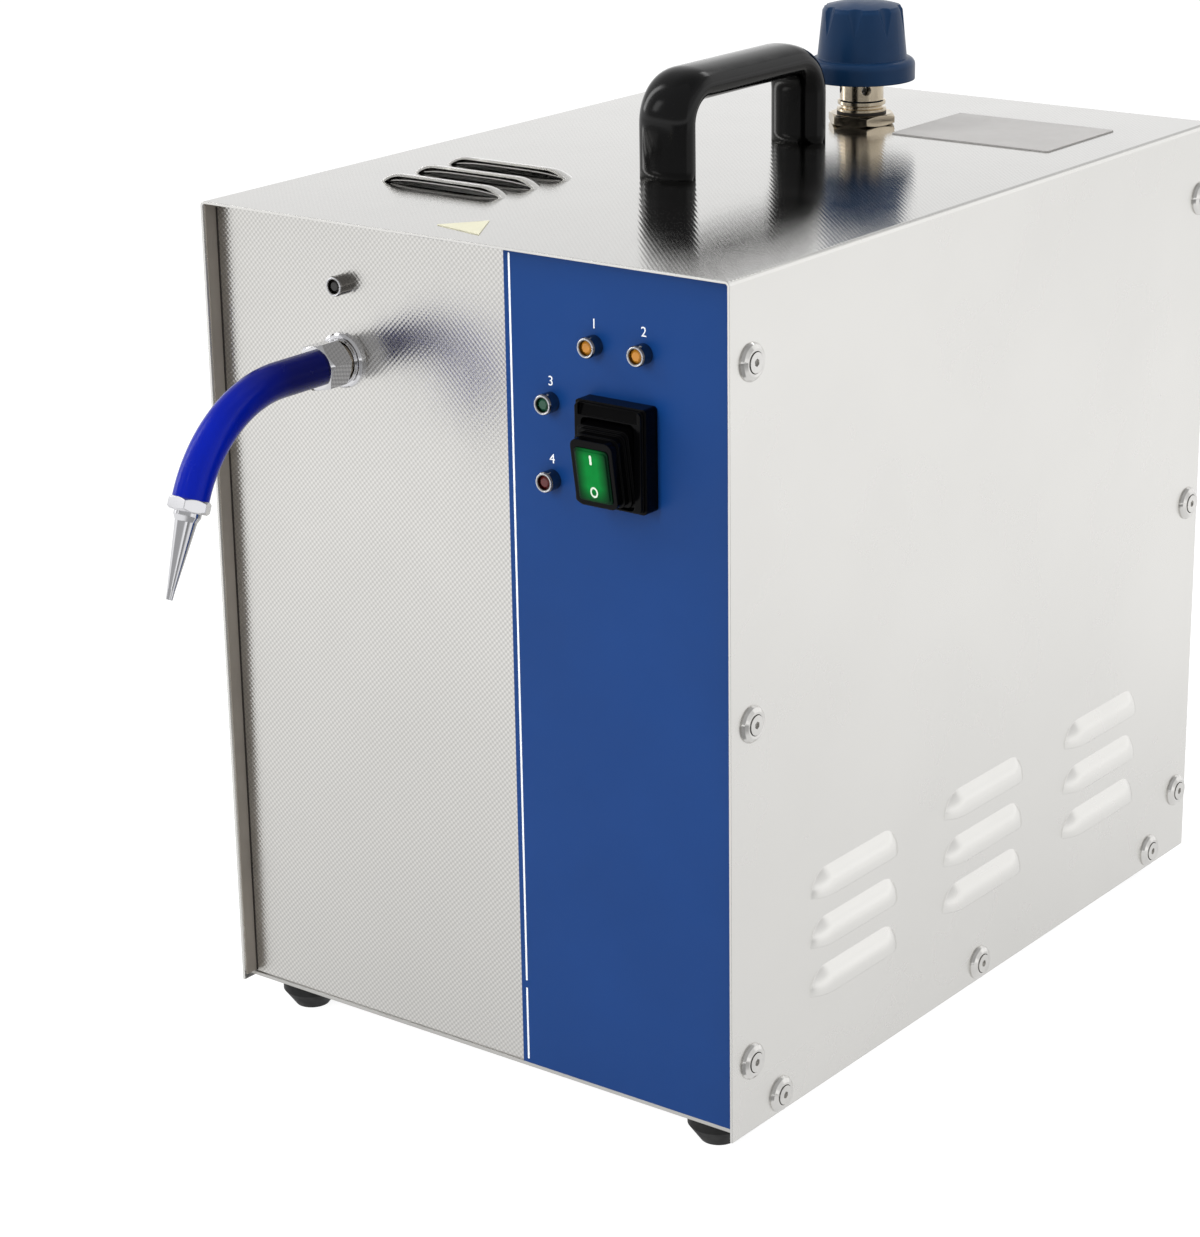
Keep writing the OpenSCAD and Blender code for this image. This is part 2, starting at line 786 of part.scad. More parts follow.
module cap_valve_body() {
    rib = valve_d / 2 + 1.2;
    body = valve_d / 2;
    crest = spigot_d / 2;
    root = crest - 0.6;
    low = seat_top - spigot_l;
    threads = floor((spigot_l - 1) / cap_pitch);
    color([0.78, 0.70, 0.52]) on_top(0, fill_y) difference() {
        rotate_extrude() polygon([
            [0, low], [root, low],
            for (i = [0:threads - 1]) for (p = thread_tooth(crest, root))
                [p[0], low + i * cap_pitch + p[1]],
            [crest, seat_top], [rib, seat_top], [rib, seat_top + 1], [body - 0.4, seat_top + 1.4],
            [body - 0.4, seat_top + 2.2], [rib - 0.3, seat_top + 2.8], [rib - 0.3, seat_top + 4.2],
            [body, seat_top + 4.8], [body, plug_top], [0, plug_top]
        ]);
        translate([0, 0, chamber_floor]) cylinder(d = chamber_d, h = chamber_top - chamber_floor);
        translate([0, 0, seat_top - spigot_l]) bore(chamber_d / 2, spigot_l);
        for (a = [45:90:315]) rotate([0, 0, a]) translate([0, 0, knob_gap - 4]) rotate([90, 0, 0])
            cylinder(d = relief_hole_d, h = valve_d);
    }
}

module knob_outline() {
    top = knob_gap + knob_h;
    rim = 2;
    intersection() {
        union() {
            polygon([
                [0, knob_gap], [knob_d / 2, knob_gap], [knob_d / 2, knob_gap + skirt_h],
                [knob_top_d / 2, top - dome_rise - rim], [knob_top_d / 2 - rim, top], [0, top]
            ]);
            translate([knob_top_d / 2 - rim, top - dome_rise - rim]) circle(r = rim);
            translate([0, knob_gap]) square([skirt_d / 2, skirt_h - skirt_round]);
            translate([0, knob_gap]) square([skirt_d / 2 - skirt_round, skirt_h]);
            translate([skirt_d / 2 - skirt_round, knob_gap + skirt_h - skirt_round]) circle(r = skirt_round);
        }
        translate([0, top - dome_r]) intersection() {
            circle(r = dome_r);
            translate([0, -dome_r]) square([dome_r, 2 * dome_r]);
        }
    }
}

module cap_knob() {
    color([0.18, 0.27, 0.45]) on_top(0, fill_y) difference() {
        rotate_extrude() knob_outline();
        translate([0, 0, knob_gap]) bore(valve_d + 2 * fit, plug_top - knob_gap);
        translate([0, 0, knob_gap - eps])
            ring(skirt_d - 2 * skirt_wall, valve_d + 2 * skirt_wall, skirt_h - skirt_wall);
        for (i = [0:scallops - 1]) rotate([0, 0, (i + 0.5) * 360 / scallops])
            translate([(knob_d + knob_top_d) / 4, 0, knob_gap + knob_h - scallop_l])
                rotate([0, scallop_lean, 0])
                    cylinder(d1 = 0.2, d2 = scallop_d, h = scallop_l + 2);
    }
}

module relief_poppet() {
    color([0.80, 0.78, 0.74]) on_top(0, fill_y) translate([0, 0, chamber_floor]) {
        cylinder(d = chamber_d - 2 * gap, h = poppet_t);
        cylinder(d = stem_d, h = chamber_top - chamber_floor - relief_lift);
    }
}

module relief_spring() {
    color([0.60, 0.60, 0.60]) on_top(0, fill_y) translate([0, 0, chamber_floor + poppet_t])
        ring(chamber_d - 2 * gap, stem_d + 2 * gap, chamber_top - chamber_floor - poppet_t);
}

// ---- spout ----

module spout_flange() {
    color([0.83, 0.83, 0.84]) spout_frame() rotate_extrude() polygon([
        [bulkhead_d / 2 + fit, 0], [spout_flange_d / 2, 0], [spout_flange_d / 2, 1.2],
        [spout_flange_d / 2 - 0.8, flange_t - 1], [bulkhead_d / 2 + 2, flange_t - 1],
        [bulkhead_d / 2 + 1.6, flange_t], [bulkhead_d / 2 + fit, flange_t]
    ]);
}

module spout_bulkhead() {
    color([0.72, 0.70, 0.66]) spout_frame() difference() {
        translate([0, 0, -bulkhead_back]) cylinder(d = bulkhead_d, h = bulkhead_back + bulkhead_out);
        translate([0, 0, -bulkhead_back]) bore(tube_d + 2 * fit, bulkhead_back + bulkhead_out);
    }
}

module spout_nut() {
    inside = bulkhead_out + ferrule_t + fit;
    color([0.82, 0.82, 0.83]) spout_frame() difference() {
        translate([0, 0, flange_t + union_gap]) rotate([0, 0, 12])
            hexagon(union_af, union_l - union_gap, 1.2);
        bore(bulkhead_d + 2 * gap, inside);
        bore(tube_d + 2 * fit, sleeve_from + 1);
    }
}

// a hollow round section carried round the spout's bend
module spout_bend(d, inner_d) {
    spout_frame() translate([0, -spout_bend_r, bend_from]) rotate([90, 0, 90])
        rotate_extrude(angle = spout_bend_a) translate([spout_bend_r, 0]) difference() {
            circle(d = d);
            circle(d = inner_d);
        }
}

module spout_tube() {
    ferrule = bulkhead_out + fit;
    rim = bulkhead_d / 2 - 0.5;
    color([0.75, 0.74, 0.72]) {
        spout_frame() rotate_extrude() polygon([
            [tube_bore, -tube_in], [tube_d / 2, -tube_in], [tube_d / 2, ferrule], [rim, ferrule],
            [rim, bulkhead_out + ferrule_t], [tube_d / 2, bulkhead_out + ferrule_t],
            [tube_d / 2, bend_from], [tube_bore, bend_from]
        ]);
        spout_bend(tube_d, 2 * tube_bore);
    }
}

module spout_sleeve() {
    inner_d = tube_d + 2 * fit;
    color([0.02, 0.08, 0.62]) {
        spout_frame() translate([0, 0, sleeve_from]) ring(sleeve_d, inner_d, sleeve_straight);
        spout_bend(sleeve_d, inner_d);
    }
}

module spout_collar() {
    color([0.84, 0.84, 0.85]) spout_end() difference() {
        hexagon(collar_af, collar_l, 1);
        bore(2 * tube_bore, collar_l);
    }
}

module spout_nozzle() {
    color([0.86, 0.86, 0.87]) spout_end() translate([0, 0, collar_l]) difference() {
        rotate_extrude() polygon([
            [0, 0], [nozzle_d / 2, 0], [nozzle_d / 2, 1.5], [nozzle_d / 2 - 1, 3.5],
            [nozzle_tip_d / 2 + 0.3, nozzle_l - 4], [nozzle_tip_d / 2, nozzle_l], [0, nozzle_l]
        ]);
        bore(nozzle_bore, nozzle_l);
        translate([0, 0, -eps]) cylinder(d1 = 2 * tube_bore, d2 = nozzle_bore, h = 12);
    }
}

// ---- lamps and switch ----

// a lamp's threaded bezel; face is how far the surface that it sits on lies before the panel
module bezel(place, face) {
    on_front(place) difference() {
        union() {
            translate([0, 0, face]) cylinder(d = bezel_d, h = bezel_l - 0.6);
            translate([0, 0, face + bezel_l - 0.6]) cylinder(d1 = bezel_d, d2 = bezel_d - 1, h = 0.6);
            translate([0, 0, -shank_l]) cylinder(d = shank_d, h = shank_l + face + eps);
        }
        translate([0, 0, face + bezel_l - lens_t]) bore(lens_d, lens_t);
        translate([0, 0, -shank_l]) bore(shank_d - 2, shank_l + face + bezel_l);
    }
}

module lens(place, face) {
    on_front(place) translate([0, 0, face + bezel_l - lens_t]) {
        cylinder(d = lens_d - 2 * fit, h = lens_t - 1.4);
        translate([0, 0, lens_t - 1.4 - eps]) cylinder(d1 = lens_d - 2 * fit, d2 = lens_d - 2.4, h = 1);
    }
}

module lamp_bezel_1() { color([0.55, 0.55, 0.56]) bezel(lamp_places[0], overlay_t); }
module lamp_bezel_2() { color([0.55, 0.55, 0.56]) bezel(lamp_places[1], overlay_t); }
module lamp_bezel_3() { color([0.55, 0.55, 0.56]) bezel(lamp_places[2], overlay_t); }
module lamp_bezel_4() { color([0.55, 0.55, 0.56]) bezel(lamp_places[3], overlay_t); }
module lamp_lens_1() { color([0.75, 0.55, 0.15]) lens(lamp_places[0], overlay_t); }
module lamp_lens_2() { color([0.75, 0.55, 0.15]) lens(lamp_places[1], overlay_t); }
module lamp_lens_3() { color([0.15, 0.45, 0.20]) lens(lamp_places[2], overlay_t); }
module lamp_lens_4() { color([0.45, 0.12, 0.12]) lens(lamp_places[3], overlay_t); }
module pilot_bezel() { color([0.60, 0.60, 0.60]) bezel(pilot_place, 0); }
module pilot_lens() { color([0.10, 0.10, 0.11]) lens(pilot_place, 0); }

module panel_nuts() {
    color([0.66, 0.66, 0.64]) {
        for (p = concat(lamp_places, [pilot_place]))
            on_front(p, panel_y + panel_t) mirror([0, 0, 1])
                hex_nut(lamp_nut_af, lamp_nut_t, shank_d + 2 * fit);
        on_front(spout_pos, panel_y + panel_t) mirror([0, 0, 1])
            hex_nut(backnut_af, backnut_t, bulkhead_d + 2 * fit);
    }
}

// the swinging part of the switch hangs on this line, a little below the housing's middle
module rocker_frame() {
    on_front([switch_pos[0], switch_pos[1] - boot_drop])
        translate([0, 0, overlay_t + switch_out - boot_sink]) children();
}

module switch_housing() {
    edge = 2;
    lip = switch_h / 2 + boot_drop - well_h / 2;
    color([0.04, 0.04, 0.04]) difference() {
        on_front(switch_pos) {
            translate([0, 0, overlay_t]) rounded_block(switch_w, switch_h, switch_out - edge, 1.5);
            translate([0, 0, overlay_t + switch_out - edge - eps])
                rounded_block(switch_w - 1.4, switch_h - 1.4, edge / 2 + eps, 1.5);
            translate([0, 0, overlay_t + switch_out - edge / 2 - eps])
                rounded_block(switch_w - edge, switch_h - edge, edge / 2 + eps, 1.5);
            translate([0, 0, -switch_depth])
                rounded_block(switch_body_w, switch_body_h, switch_depth + overlay_t + eps, 1);
            for (up = [-10, 0, 10]) translate([0, up, -switch_depth - terminal[2] / 2])
                cube(terminal, center = true);
        }
        rocker_frame() {
            translate([0, 0, -well_depth])
                rounded_block(boot_w + 2 * gap, well_h, switch_out + well_depth, 2);
            rotate([0, 90, 0])
                cylinder(d = pivot_d + 2 * fit, h = boot_w + 2 * pivot_in + 2 * gap, center = true);
        }
        on_front(switch_pos) translate([0, (switch_h - lip) / 2, overlay_t + switch_out])
            rotate([-14, 0, 0]) cube([switch_w - 5, lip - 1.6, 3], center = true);
    }
}

// the stepped rubber boot, tilted with its lower end pressed in; the lens sits in its window
module switch_boot() {
    color([0.05, 0.05, 0.05]) rocker_frame() rotate([half_swing, 0, 0]) difference() {
        union() {
            translate([0, 0, -boot_root])
                rounded_block(boot_w, boot_h, boot_root + boot_sink + boot_edge, 2.5);
            rotate([0, 90, 0]) cylinder(d = pivot_d, h = boot_w + 2 * pivot_in, center = true);
            translate([0, 0, boot_sink]) rounded_block(boot_w - 1.6, boot_h - 1.6, boot_edge + 1.2, 2.5);
            translate([0, 0, boot_sink]) rounded_block(boot_w - 3.2, boot_h - 3.2, boot_step, 3);
            translate([0, 0, boot_sink]) rounded_block(boot_w - 4.4, boot_h - 4.4, boot_lift, 3);
        }
        translate([0, -lens_drop, boot_sink + boot_edge])
            rounded_block(lens_size[0], lens_size[1], boot_lift, 1.5);
    }
}

module switch_lens() {
    stand = 0.4;
    color([0.0, 0.45, 0.12]) rocker_frame() rotate([half_swing, 0, 0]) {
        translate([0, -lens_drop, boot_sink + boot_edge]) rounded_block(
            lens_size[0] - 2 * fit, lens_size[1] - 2 * fit, boot_lift - boot_edge + stand, 1.4
        );
        translate([0, -lens_drop, boot_sink + boot_lift + stand - eps])
            rounded_block(lens_size[0] - 1.6, lens_size[1] - 1.6, 0.5, 1.4);
    }
}

// ---- boiler ----

module boiler_profile(shrink) {
    r = boiler_d / 2 - shrink;
    end = boiler_l / 2 + dome_l;
    for (s = [0, 1]) mirror([0, s]) intersection() {
        translate([0, -eps]) square([r, end + eps]);
        translate([0, end - boiler_bulge]) circle(r = boiler_bulge - shrink, $fn = 180);
    }
}

module boiler_frame() {
    translate([0, boiler_y, boiler_axis]) rotate([90, 0, 0]) children();
}

module boiler() {
    color([0.62, 0.62, 0.63]) difference() {
        union() {
            boiler_frame() rotate_extrude($fn = 120) boiler_profile(0);
            translate([spout_pos[0], steam_drop_y, boiler_axis])
                cylinder(d = port_d, h = spout_pos[1] - pipe_bend - 4 - boiler_axis);
            translate([0, drain_y, boiler_axis - boiler_d / 2 - 6]) cylinder(d = port_d, h = 20);
            translate([0, boiler_y - 20, boiler_axis]) cylinder(d = port_d, h = boiler_d / 2 + 6);
        }
        boiler_frame() rotate_extrude($fn = 120) boiler_profile(boiler_t);
        on_top(0, fill_y) translate([0, 0, boiler_axis - top_z]) cylinder(d = spigot_d, h = boiler_d);
        translate([spout_pos[0], steam_drop_y, boiler_axis]) cylinder(d = pipe_d + 2 * fit, h = boiler_d);
        translate([0, drain_y, boiler_axis - boiler_d]) cylinder(d = pipe_d + 2 * fit, h = boiler_d);
        boiler_frame() translate([0, 0, boiler_l / 2]) cylinder(d = heater_flange_d - 16, h = dome_l + 1);
    }
}

module boiler_saddles() {
    color([0.68, 0.68, 0.67]) for (s = [-1, 1])
        translate([0, boiler_y + s * saddle_gap / 2, 0]) difference() {
            union() {
                translate([-saddle_w / 2, 0, floor_z]) cube([saddle_w, saddle_t, boiler_z - tray_t - 45]);
                translate([-saddle_w / 2, 0, floor_z]) cube([saddle_w, 18, saddle_t]);
            }
            translate([0, 30, boiler_axis]) rotate([90, 0, 0]) cylinder(d = boiler_d, h = 60);
            for (sx = [-1, 1]) translate([sx * saddle_w / 3, 11, floor_z]) bore(5.5, saddle_t);
        }
}

module heater() {
    loop_r = 26;
    reach = boiler_l * 0.75;
    front = boiler_y - boiler_l / 2 - dome_l;
    color([0.70, 0.58, 0.42]) translate([0, front, boiler_axis]) rotate([-90, 0, 0]) {
        translate([0, 0, -4]) cylinder(d = heater_flange_d, h = 4 + 1.5);
        translate([0, 0, -14]) hexagon(32, 10 + eps, 1.5);
        for (s = [-1, 1]) translate([s * loop_r / 2, 0, 0]) cylinder(d = element_d, h = reach);
        translate([0, 0, reach]) rotate([-90, 0, 0]) rotate_extrude(angle = -180)
            translate([loop_r / 2, 0]) circle(d = element_d);
    }
}

// ---- steam valve and pipes ----

module valve_frame() {
    translate([spout_pos[0], valve_y, spout_pos[1]]) children();
}

module valve_body() {
    color([0.74, 0.64, 0.42]) valve_frame() difference() {
        union() {
            translate([-valve_block / 2, -valve_block / 2, -valve_low])
                cube([valve_block, valve_block, valve_low + valve_top]);
            translate([0, 0, valve_top - eps]) cylinder(d = guide_d, h = coil_h);
        }
        translate([0, 0, plunger_foot]) cylinder(d = guide_d - 2 * guide_wall, h = plunger_l + spring_l);
        translate([0, valve_block, 0]) rotate([90, 0, 0])
            cylinder(d = pipe_d + 2 * fit, h = valve_block - 4);
        translate([0, -4, 0]) rotate([90, 0, 0]) cylinder(d = pipe_d + 2 * fit, h = valve_block);
        cylinder(d = valve_port_d, h = valve_top);
    }
}

module valve_coil() {
    color([0.10, 0.10, 0.12]) valve_frame() translate([0, 0, valve_top]) difference() {
        rounded_block(coil_w, coil_w + coil_lug, coil_h - 2, 3);
        bore(guide_d + 2 * fit, coil_h);
    }
}

module valve_plunger() {
    color([0.70, 0.70, 0.70]) valve_frame() translate([0, 0, plunger_foot])
        cylinder(d = guide_d - 2 * guide_wall - 2 * gap, h = plunger_l);
}

module valve_spring() {
    color([0.60, 0.60, 0.60]) valve_frame() translate([0, 0, plunger_foot + plunger_l])
        ring(guide_d - 2 * guide_wall - 2 * gap, valve_port_d, spring_l);
}

// a pipe that runs up, turns through a quarter and runs on along -Y to the given reach
module pipe_elbow(rise, reach) {
    hollow = pipe_d - 2 * pipe_wall;
    ring(pipe_d, hollow, rise - pipe_bend);
    translate([0, -pipe_bend, rise - pipe_bend]) rotate([90, 0, 90]) rotate_extrude(angle = 90)
        translate([pipe_bend, 0]) difference() {
            circle(d = pipe_d);
            circle(d = hollow);
        }
    translate([0, -pipe_bend, rise]) rotate([90, 0, 0]) ring(pipe_d, hollow, reach - pipe_bend);
}

module pipework() {
    steam_foot = spout_pos[1] - pipe_bend - 14;
    bulkhead_end = panel_y + bulkhead_back - 6;
    drain_foot = boiler_axis - boiler_d / 2 - 2;
    color([0.78, 0.56, 0.36]) {
        translate([spout_pos[0], steam_drop_y, steam_foot])
            pipe_elbow(spout_pos[1] - steam_foot, steam_drop_y - valve_y - 4);
        translate([spout_pos[0], valve_y - 4, spout_pos[1]]) rotate([90, 0, 0])
            ring(pipe_d, pipe_d - 2 * pipe_wall, valve_y - 4 - bulkhead_end);
        translate([0, drain_y, drain_foot]) rotate([180, 0, 0])
            pipe_elbow(drain_foot - drain_axis, rear_panel_y - drain_y);
    }
}

module pressure_switch() {
    color([0.30, 0.30, 0.32]) translate([0, boiler_y - 20, boiler_axis + boiler_d / 2 + 6]) {
        cylinder(d = 10, h = 6);
        translate([0, 0, 6 - eps]) hexagon(17, 5 + 2 * eps, 1);
        translate([0, 0, 11]) cylinder(d = switch_can_d, h = 16);
        for (s = [-1, 1]) translate([s * 6 - 3, -0.4, 27 - eps]) cube([6, 0.8, 7]);
    }
}

// ---- rear fittings ----

module drain_valve() {
    mid = drain_flange_t + drain_l / 2;
    color([0.76, 0.66, 0.44]) on_rear([0, drain_axis]) difference() {
        union() {
            hexagon(24, drain_flange_t + eps, 1);
            translate([0, 0, drain_flange_t]) cylinder(d = 18, h = drain_l);
            translate([0, 0, mid]) sphere(d = 24);
            translate([0, 0, drain_flange_t + drain_l - 5]) hexagon(20, 5, 1);
            translate([0, 0, drain_flange_t + drain_l - eps]) cylinder(d = outlet_d, h = outlet_l + eps);
            translate([0, 0, mid]) rotate([-90, 0, 0]) cylinder(d = 11, h = 16);
        }
        bore(pipe_d - 2 * pipe_wall, drain_reach);
        translate([0, 10, mid]) rotate([-90, 0, 0]) bore(stem_pin_d + 2 * fit, 8);
    }
}

// the lever turns about a vertical stem; it lies across the outlet when the valve is shut
module drain_lever() {
    mid = drain_flange_t + drain_l / 2;
    color([0.72, 0.10, 0.08]) on_rear([0, drain_axis]) translate([0, 0, mid]) rotate([-90, 0, 0]) {
        translate([0, 0, 11]) cylinder(d = stem_pin_d, h = 6 + lever_t);
        translate([0, 0, 16 + gap]) cylinder(d = lever_w, h = lever_t);
        translate([-lever_l, -lever_w / 2, 16 + gap]) cube([lever_l, lever_w, lever_t]);
        translate([-lever_l, 0, 16 + gap]) cylinder(d = lever_w, h = lever_t);
        translate([0, 0, 16 + gap + lever_t - eps]) hexagon(9, 4, 1);
    }
}

module mains_inlet() {
    color([0.06, 0.06, 0.06]) on_rear(inlet_pos) difference() {
        union() {
            rounded_block(inlet_flange[0], inlet_flange[1], 3, 6);
            translate([0, 0, -inlet_depth])
                rounded_block(inlet_body[0], inlet_body[1], inlet_depth + eps, 0.9);
        }
        translate([0, 0, 3 - inlet_cavity_depth])
            rounded_block(inlet_cavity[0], inlet_cavity[1], inlet_cavity_depth + 1, 3);
        for (s = [-1, 1]) translate([s * inlet_screw_x, 0, 0]) bore(3.4, 3);
    }
}

module inlet_pins() {
    color([0.80, 0.78, 0.72]) on_rear(inlet_pos) translate([0, 0, 3 - inlet_cavity_depth]) {
        for (s = [-1, 1]) translate([s * 7 - 1, -5, 0]) cube([2, 4, 13]);
        translate([-1, 1.5, 0]) cube([2, 4, 14.5]);
    }
}

module foot_jack() {
    color([0.10, 0.10, 0.10]) on_rear(jack_pos) difference() {
        union() {
            hexagon(14, 3, 1);
            translate([0, 0, -panel_t - 3]) cylinder(d = jack_thread_d, h = panel_t + 3 + eps);
            translate([0, 0, 3 - jack_l - 2]) cylinder(d = 15, h = jack_l - panel_t - 3 + 2 - 3);
        }
        translate([0, 0, 3 - jack_l]) bore(jack_d, jack_l);
    }
}

function board_holes() = [
    for (x = [5, board_size[0] - 5]) for (y = [5, board_size[1] - 5]) [board_x + x, board_y + y]
];

module control_board() {
    color([0.10, 0.35, 0.16]) translate([board_x, board_y, floor_z + board_stand]) {
        cube(board_size);
        translate([board_edge, board_edge, board_size[2] - eps]) cube(transformer);
        for (i = [0:2]) translate([board_edge + i * relay_pitch, relay_y, board_size[2] - eps]) cube(relay);
    }
}

hood();
front_panel();
control_overlay();
rear_panel();
base_tray();
foot_front_left();
foot_front_right();
foot_rear_left();
foot_rear_right();
foot_screws();
cup_washers();
case_screws();
handle();
handle_screws();
top_plate();
top_patch();
rating_plate();
filler_neck();
filler_nut();
cap_gasket();
cap_valve_body();
cap_knob();
relief_poppet();
relief_spring();
spout_flange();
spout_bulkhead();
spout_nut();
spout_tube();
spout_sleeve();
spout_collar();
spout_nozzle();
lamp_bezel_1();
lamp_bezel_2();
lamp_bezel_3();
lamp_bezel_4();
lamp_lens_1();
lamp_lens_2();
lamp_lens_3();
lamp_lens_4();
pilot_bezel();
pilot_lens();
panel_nuts();
switch_housing();
switch_boot();
switch_lens();
boiler();
boiler_saddles();
heater();
valve_body();
valve_coil();
valve_plunger();
valve_spring();
pipework();
pressure_switch();
drain_valve();
drain_lever();
mains_inlet();
inlet_pins();
foot_jack();
control_board();
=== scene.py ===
import math

import bpy
from mathutils import Matrix, Vector


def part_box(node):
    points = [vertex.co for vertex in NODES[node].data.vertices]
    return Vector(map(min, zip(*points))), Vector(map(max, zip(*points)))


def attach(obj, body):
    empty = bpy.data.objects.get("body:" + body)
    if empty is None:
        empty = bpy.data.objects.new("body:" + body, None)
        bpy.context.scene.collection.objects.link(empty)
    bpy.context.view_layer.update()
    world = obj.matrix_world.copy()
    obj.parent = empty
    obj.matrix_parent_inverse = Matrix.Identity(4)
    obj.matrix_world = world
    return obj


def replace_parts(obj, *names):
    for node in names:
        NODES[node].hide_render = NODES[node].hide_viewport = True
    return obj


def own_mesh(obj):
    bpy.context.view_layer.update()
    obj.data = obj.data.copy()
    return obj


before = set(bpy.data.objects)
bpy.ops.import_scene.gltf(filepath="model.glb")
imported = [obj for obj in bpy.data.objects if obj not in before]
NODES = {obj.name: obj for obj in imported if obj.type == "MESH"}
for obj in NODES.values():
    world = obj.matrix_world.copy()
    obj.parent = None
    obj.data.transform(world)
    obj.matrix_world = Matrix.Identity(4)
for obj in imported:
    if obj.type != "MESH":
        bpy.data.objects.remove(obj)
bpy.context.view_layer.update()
MM = 0.001

# ---------------------------------------------------------------- places, in millimetres, read from the CAD nodes


def node_box(name):
    """The lowest and highest corners of a CAD node, in millimetres."""
    return [[c / MM for c in corner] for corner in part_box(name)]


def middle(name, axis):
    low, high = node_box(name)
    return (low[axis] + high[axis]) / 2


HOOD = node_box("hood")
TOP_Z = 342.0  # the top sheet itself; the hood's box reaches up to its louvres
PANEL_Y = node_box("front_panel")[0][1]
OVERLAY = node_box("control_overlay")
OVERLAY_X, OVERLAY_Y = OVERLAY[0][0], OVERLAY[0][1]
FILL_Y = middle("cap_gasket", 1)
SPOUT = (middle("spout_flange", 0), middle("spout_flange", 2))
VALVE_Y = middle("valve_plunger", 1)
LAMPS = {k: (middle("lamp_bezel_" + k, 0), middle("lamp_bezel_" + k, 2)) for k in "1234"}
SWITCH = (middle("switch_housing", 0), middle("switch_housing", 2))

# ---------------------------------------------------------------- camera, fitted to the photograph's case corners

PICTURE_HEIGHT = 1237  # pixels
FOCAL_PX = 3313.85
SENSOR = 36.0
CAMERA_TURN = (37.6, 18.89, -0.96)  # azimuth, elevation and roll, in degrees
CAMERA_PLACE = (766.6, -1058.3, 601.3)


def look_axes(azimuth, elevation, roll):
    a, e, r = math.radians(azimuth), math.radians(elevation), math.radians(roll)
    back = Vector((math.sin(a) * math.cos(e), -math.cos(a) * math.cos(e), math.sin(e)))
    right = (-back).cross(Vector((0, 0, 1))).normalized()
    up = right.cross(-back)
    return (
        math.cos(r) * right + math.sin(r) * up,
        -math.sin(r) * right + math.cos(r) * up,
        back,
    )


def make_camera():
    data = bpy.data.cameras.new("camera")
    data.sensor_fit = "VERTICAL"
    data.sensor_height = SENSOR
    data.sensor_width = SENSOR
    data.lens = FOCAL_PX * SENSOR / PICTURE_HEIGHT
    data.clip_end = 50
    cam = bpy.data.objects.new("camera", data)
    bpy.context.scene.collection.objects.link(cam)
    right, up, back = look_axes(*CAMERA_TURN)
    turn = Matrix((right, up, back)).transposed().to_4x4()
    cam.matrix_world = Matrix.Translation(Vector(CAMERA_PLACE) * MM) @ turn
    bpy.context.scene.camera = cam


make_camera()

# ---------------------------------------------------------------- shader graphs


def linear(rgb):
    """An sRGB colour given in 0..255, as linear values."""
    out = []
    for c in rgb:
        c /= 255
        out.append(c / 12.92 if c <= 0.04045 else ((c + 0.055) / 1.055) ** 2.4)
    return tuple(out)


class Graph:
    """A material with one Principled shader, and short calls that add nodes to it."""

    def __init__(self, name):
        self.material = bpy.data.materials.new(name)
        self.material.use_nodes = True
        self.tree = self.material.node_tree
        self.shader = self.tree.nodes["Principled BSDF"]
        self.place = self.add("ShaderNodeTexCoord").outputs["Object"]
        self.height = []

    def add(self, kind, inputs=None, **settings):
        node = self.tree.nodes.new(kind)
        for key, value in settings.items():
            setattr(node, key, value)
        for key, value in (inputs or {}).items():
            self.feed(value, node.inputs[key])
        return node

    def feed(self, value, socket):
        if isinstance(value, bpy.types.NodeSocket):
            self.tree.links.new(value, socket)
        else:
            socket.default_value = value

    def math(self, operation, *values):
        node = self.add("ShaderNodeMath", operation=operation)
        for i, value in enumerate(values):
            self.feed(value, node.inputs[i])
        return node.outputs[0]

    def noise(self, scale, detail=2.0, rough=0.5):
        return self.add(
            "ShaderNodeTexNoise",
            {"Vector": self.place, "Scale": scale, "Detail": detail, "Roughness": rough},
        ).outputs["Fac"]

    def remap(self, value, low, high, start=0.0, end=1.0):
        return self.add(
            "ShaderNodeMapRange",
            {
                "Value": value,
                "From Min": start,
                "From Max": end,
                "To Min": low,
                "To Max": high,
            },
        ).outputs["Result"]

    def blend(self, factor, a, b):
        node = self.add("ShaderNodeMix", data_type="RGBA")
        self.feed(factor, node.inputs[0])
        self.feed(a, node.inputs[6])
        self.feed(b, node.inputs[7])
        return node.outputs[2]

    def edges(self, radius):
        """1 along the edges of the mesh, 0 on its faces."""
        bent = self.add("ShaderNodeBevel", {"Radius": radius}, samples=4).outputs[0]
        flat = self.add("ShaderNodeNewGeometry").outputs["Normal"]
        dot = self.add(
            "ShaderNodeVectorMath", {0: bent, 1: flat}, operation="DOT_PRODUCT"
        ).outputs["Value"]
        return self.remap(dot, 1.0, 0.0, 0.75, 0.99)

    def raise_by(self, value, distance):
        self.height.append((value, distance))

    def close(self, bevel=0.0):
        """Links the heights, one bump each, over a softly rounded normal."""
        normal = None
        if bevel:
            normal = self.add("ShaderNodeBevel", {"Radius": bevel}, samples=6).outputs[0]
        for value, distance in self.height:
            node = self.add(
                "ShaderNodeBump", {"Height": value, "Distance": distance, "Strength": 1.0}
            )
            if normal:
                self.feed(normal, node.inputs["Normal"])
            normal = node.outputs["Normal"]
        if normal:
            self.feed(normal, self.shader.inputs["Normal"])
        return self.material


def shade(colour, factor):
    """A colour made darker or lighter, with its alpha."""
    return tuple(c * factor for c in colour) + (1,)


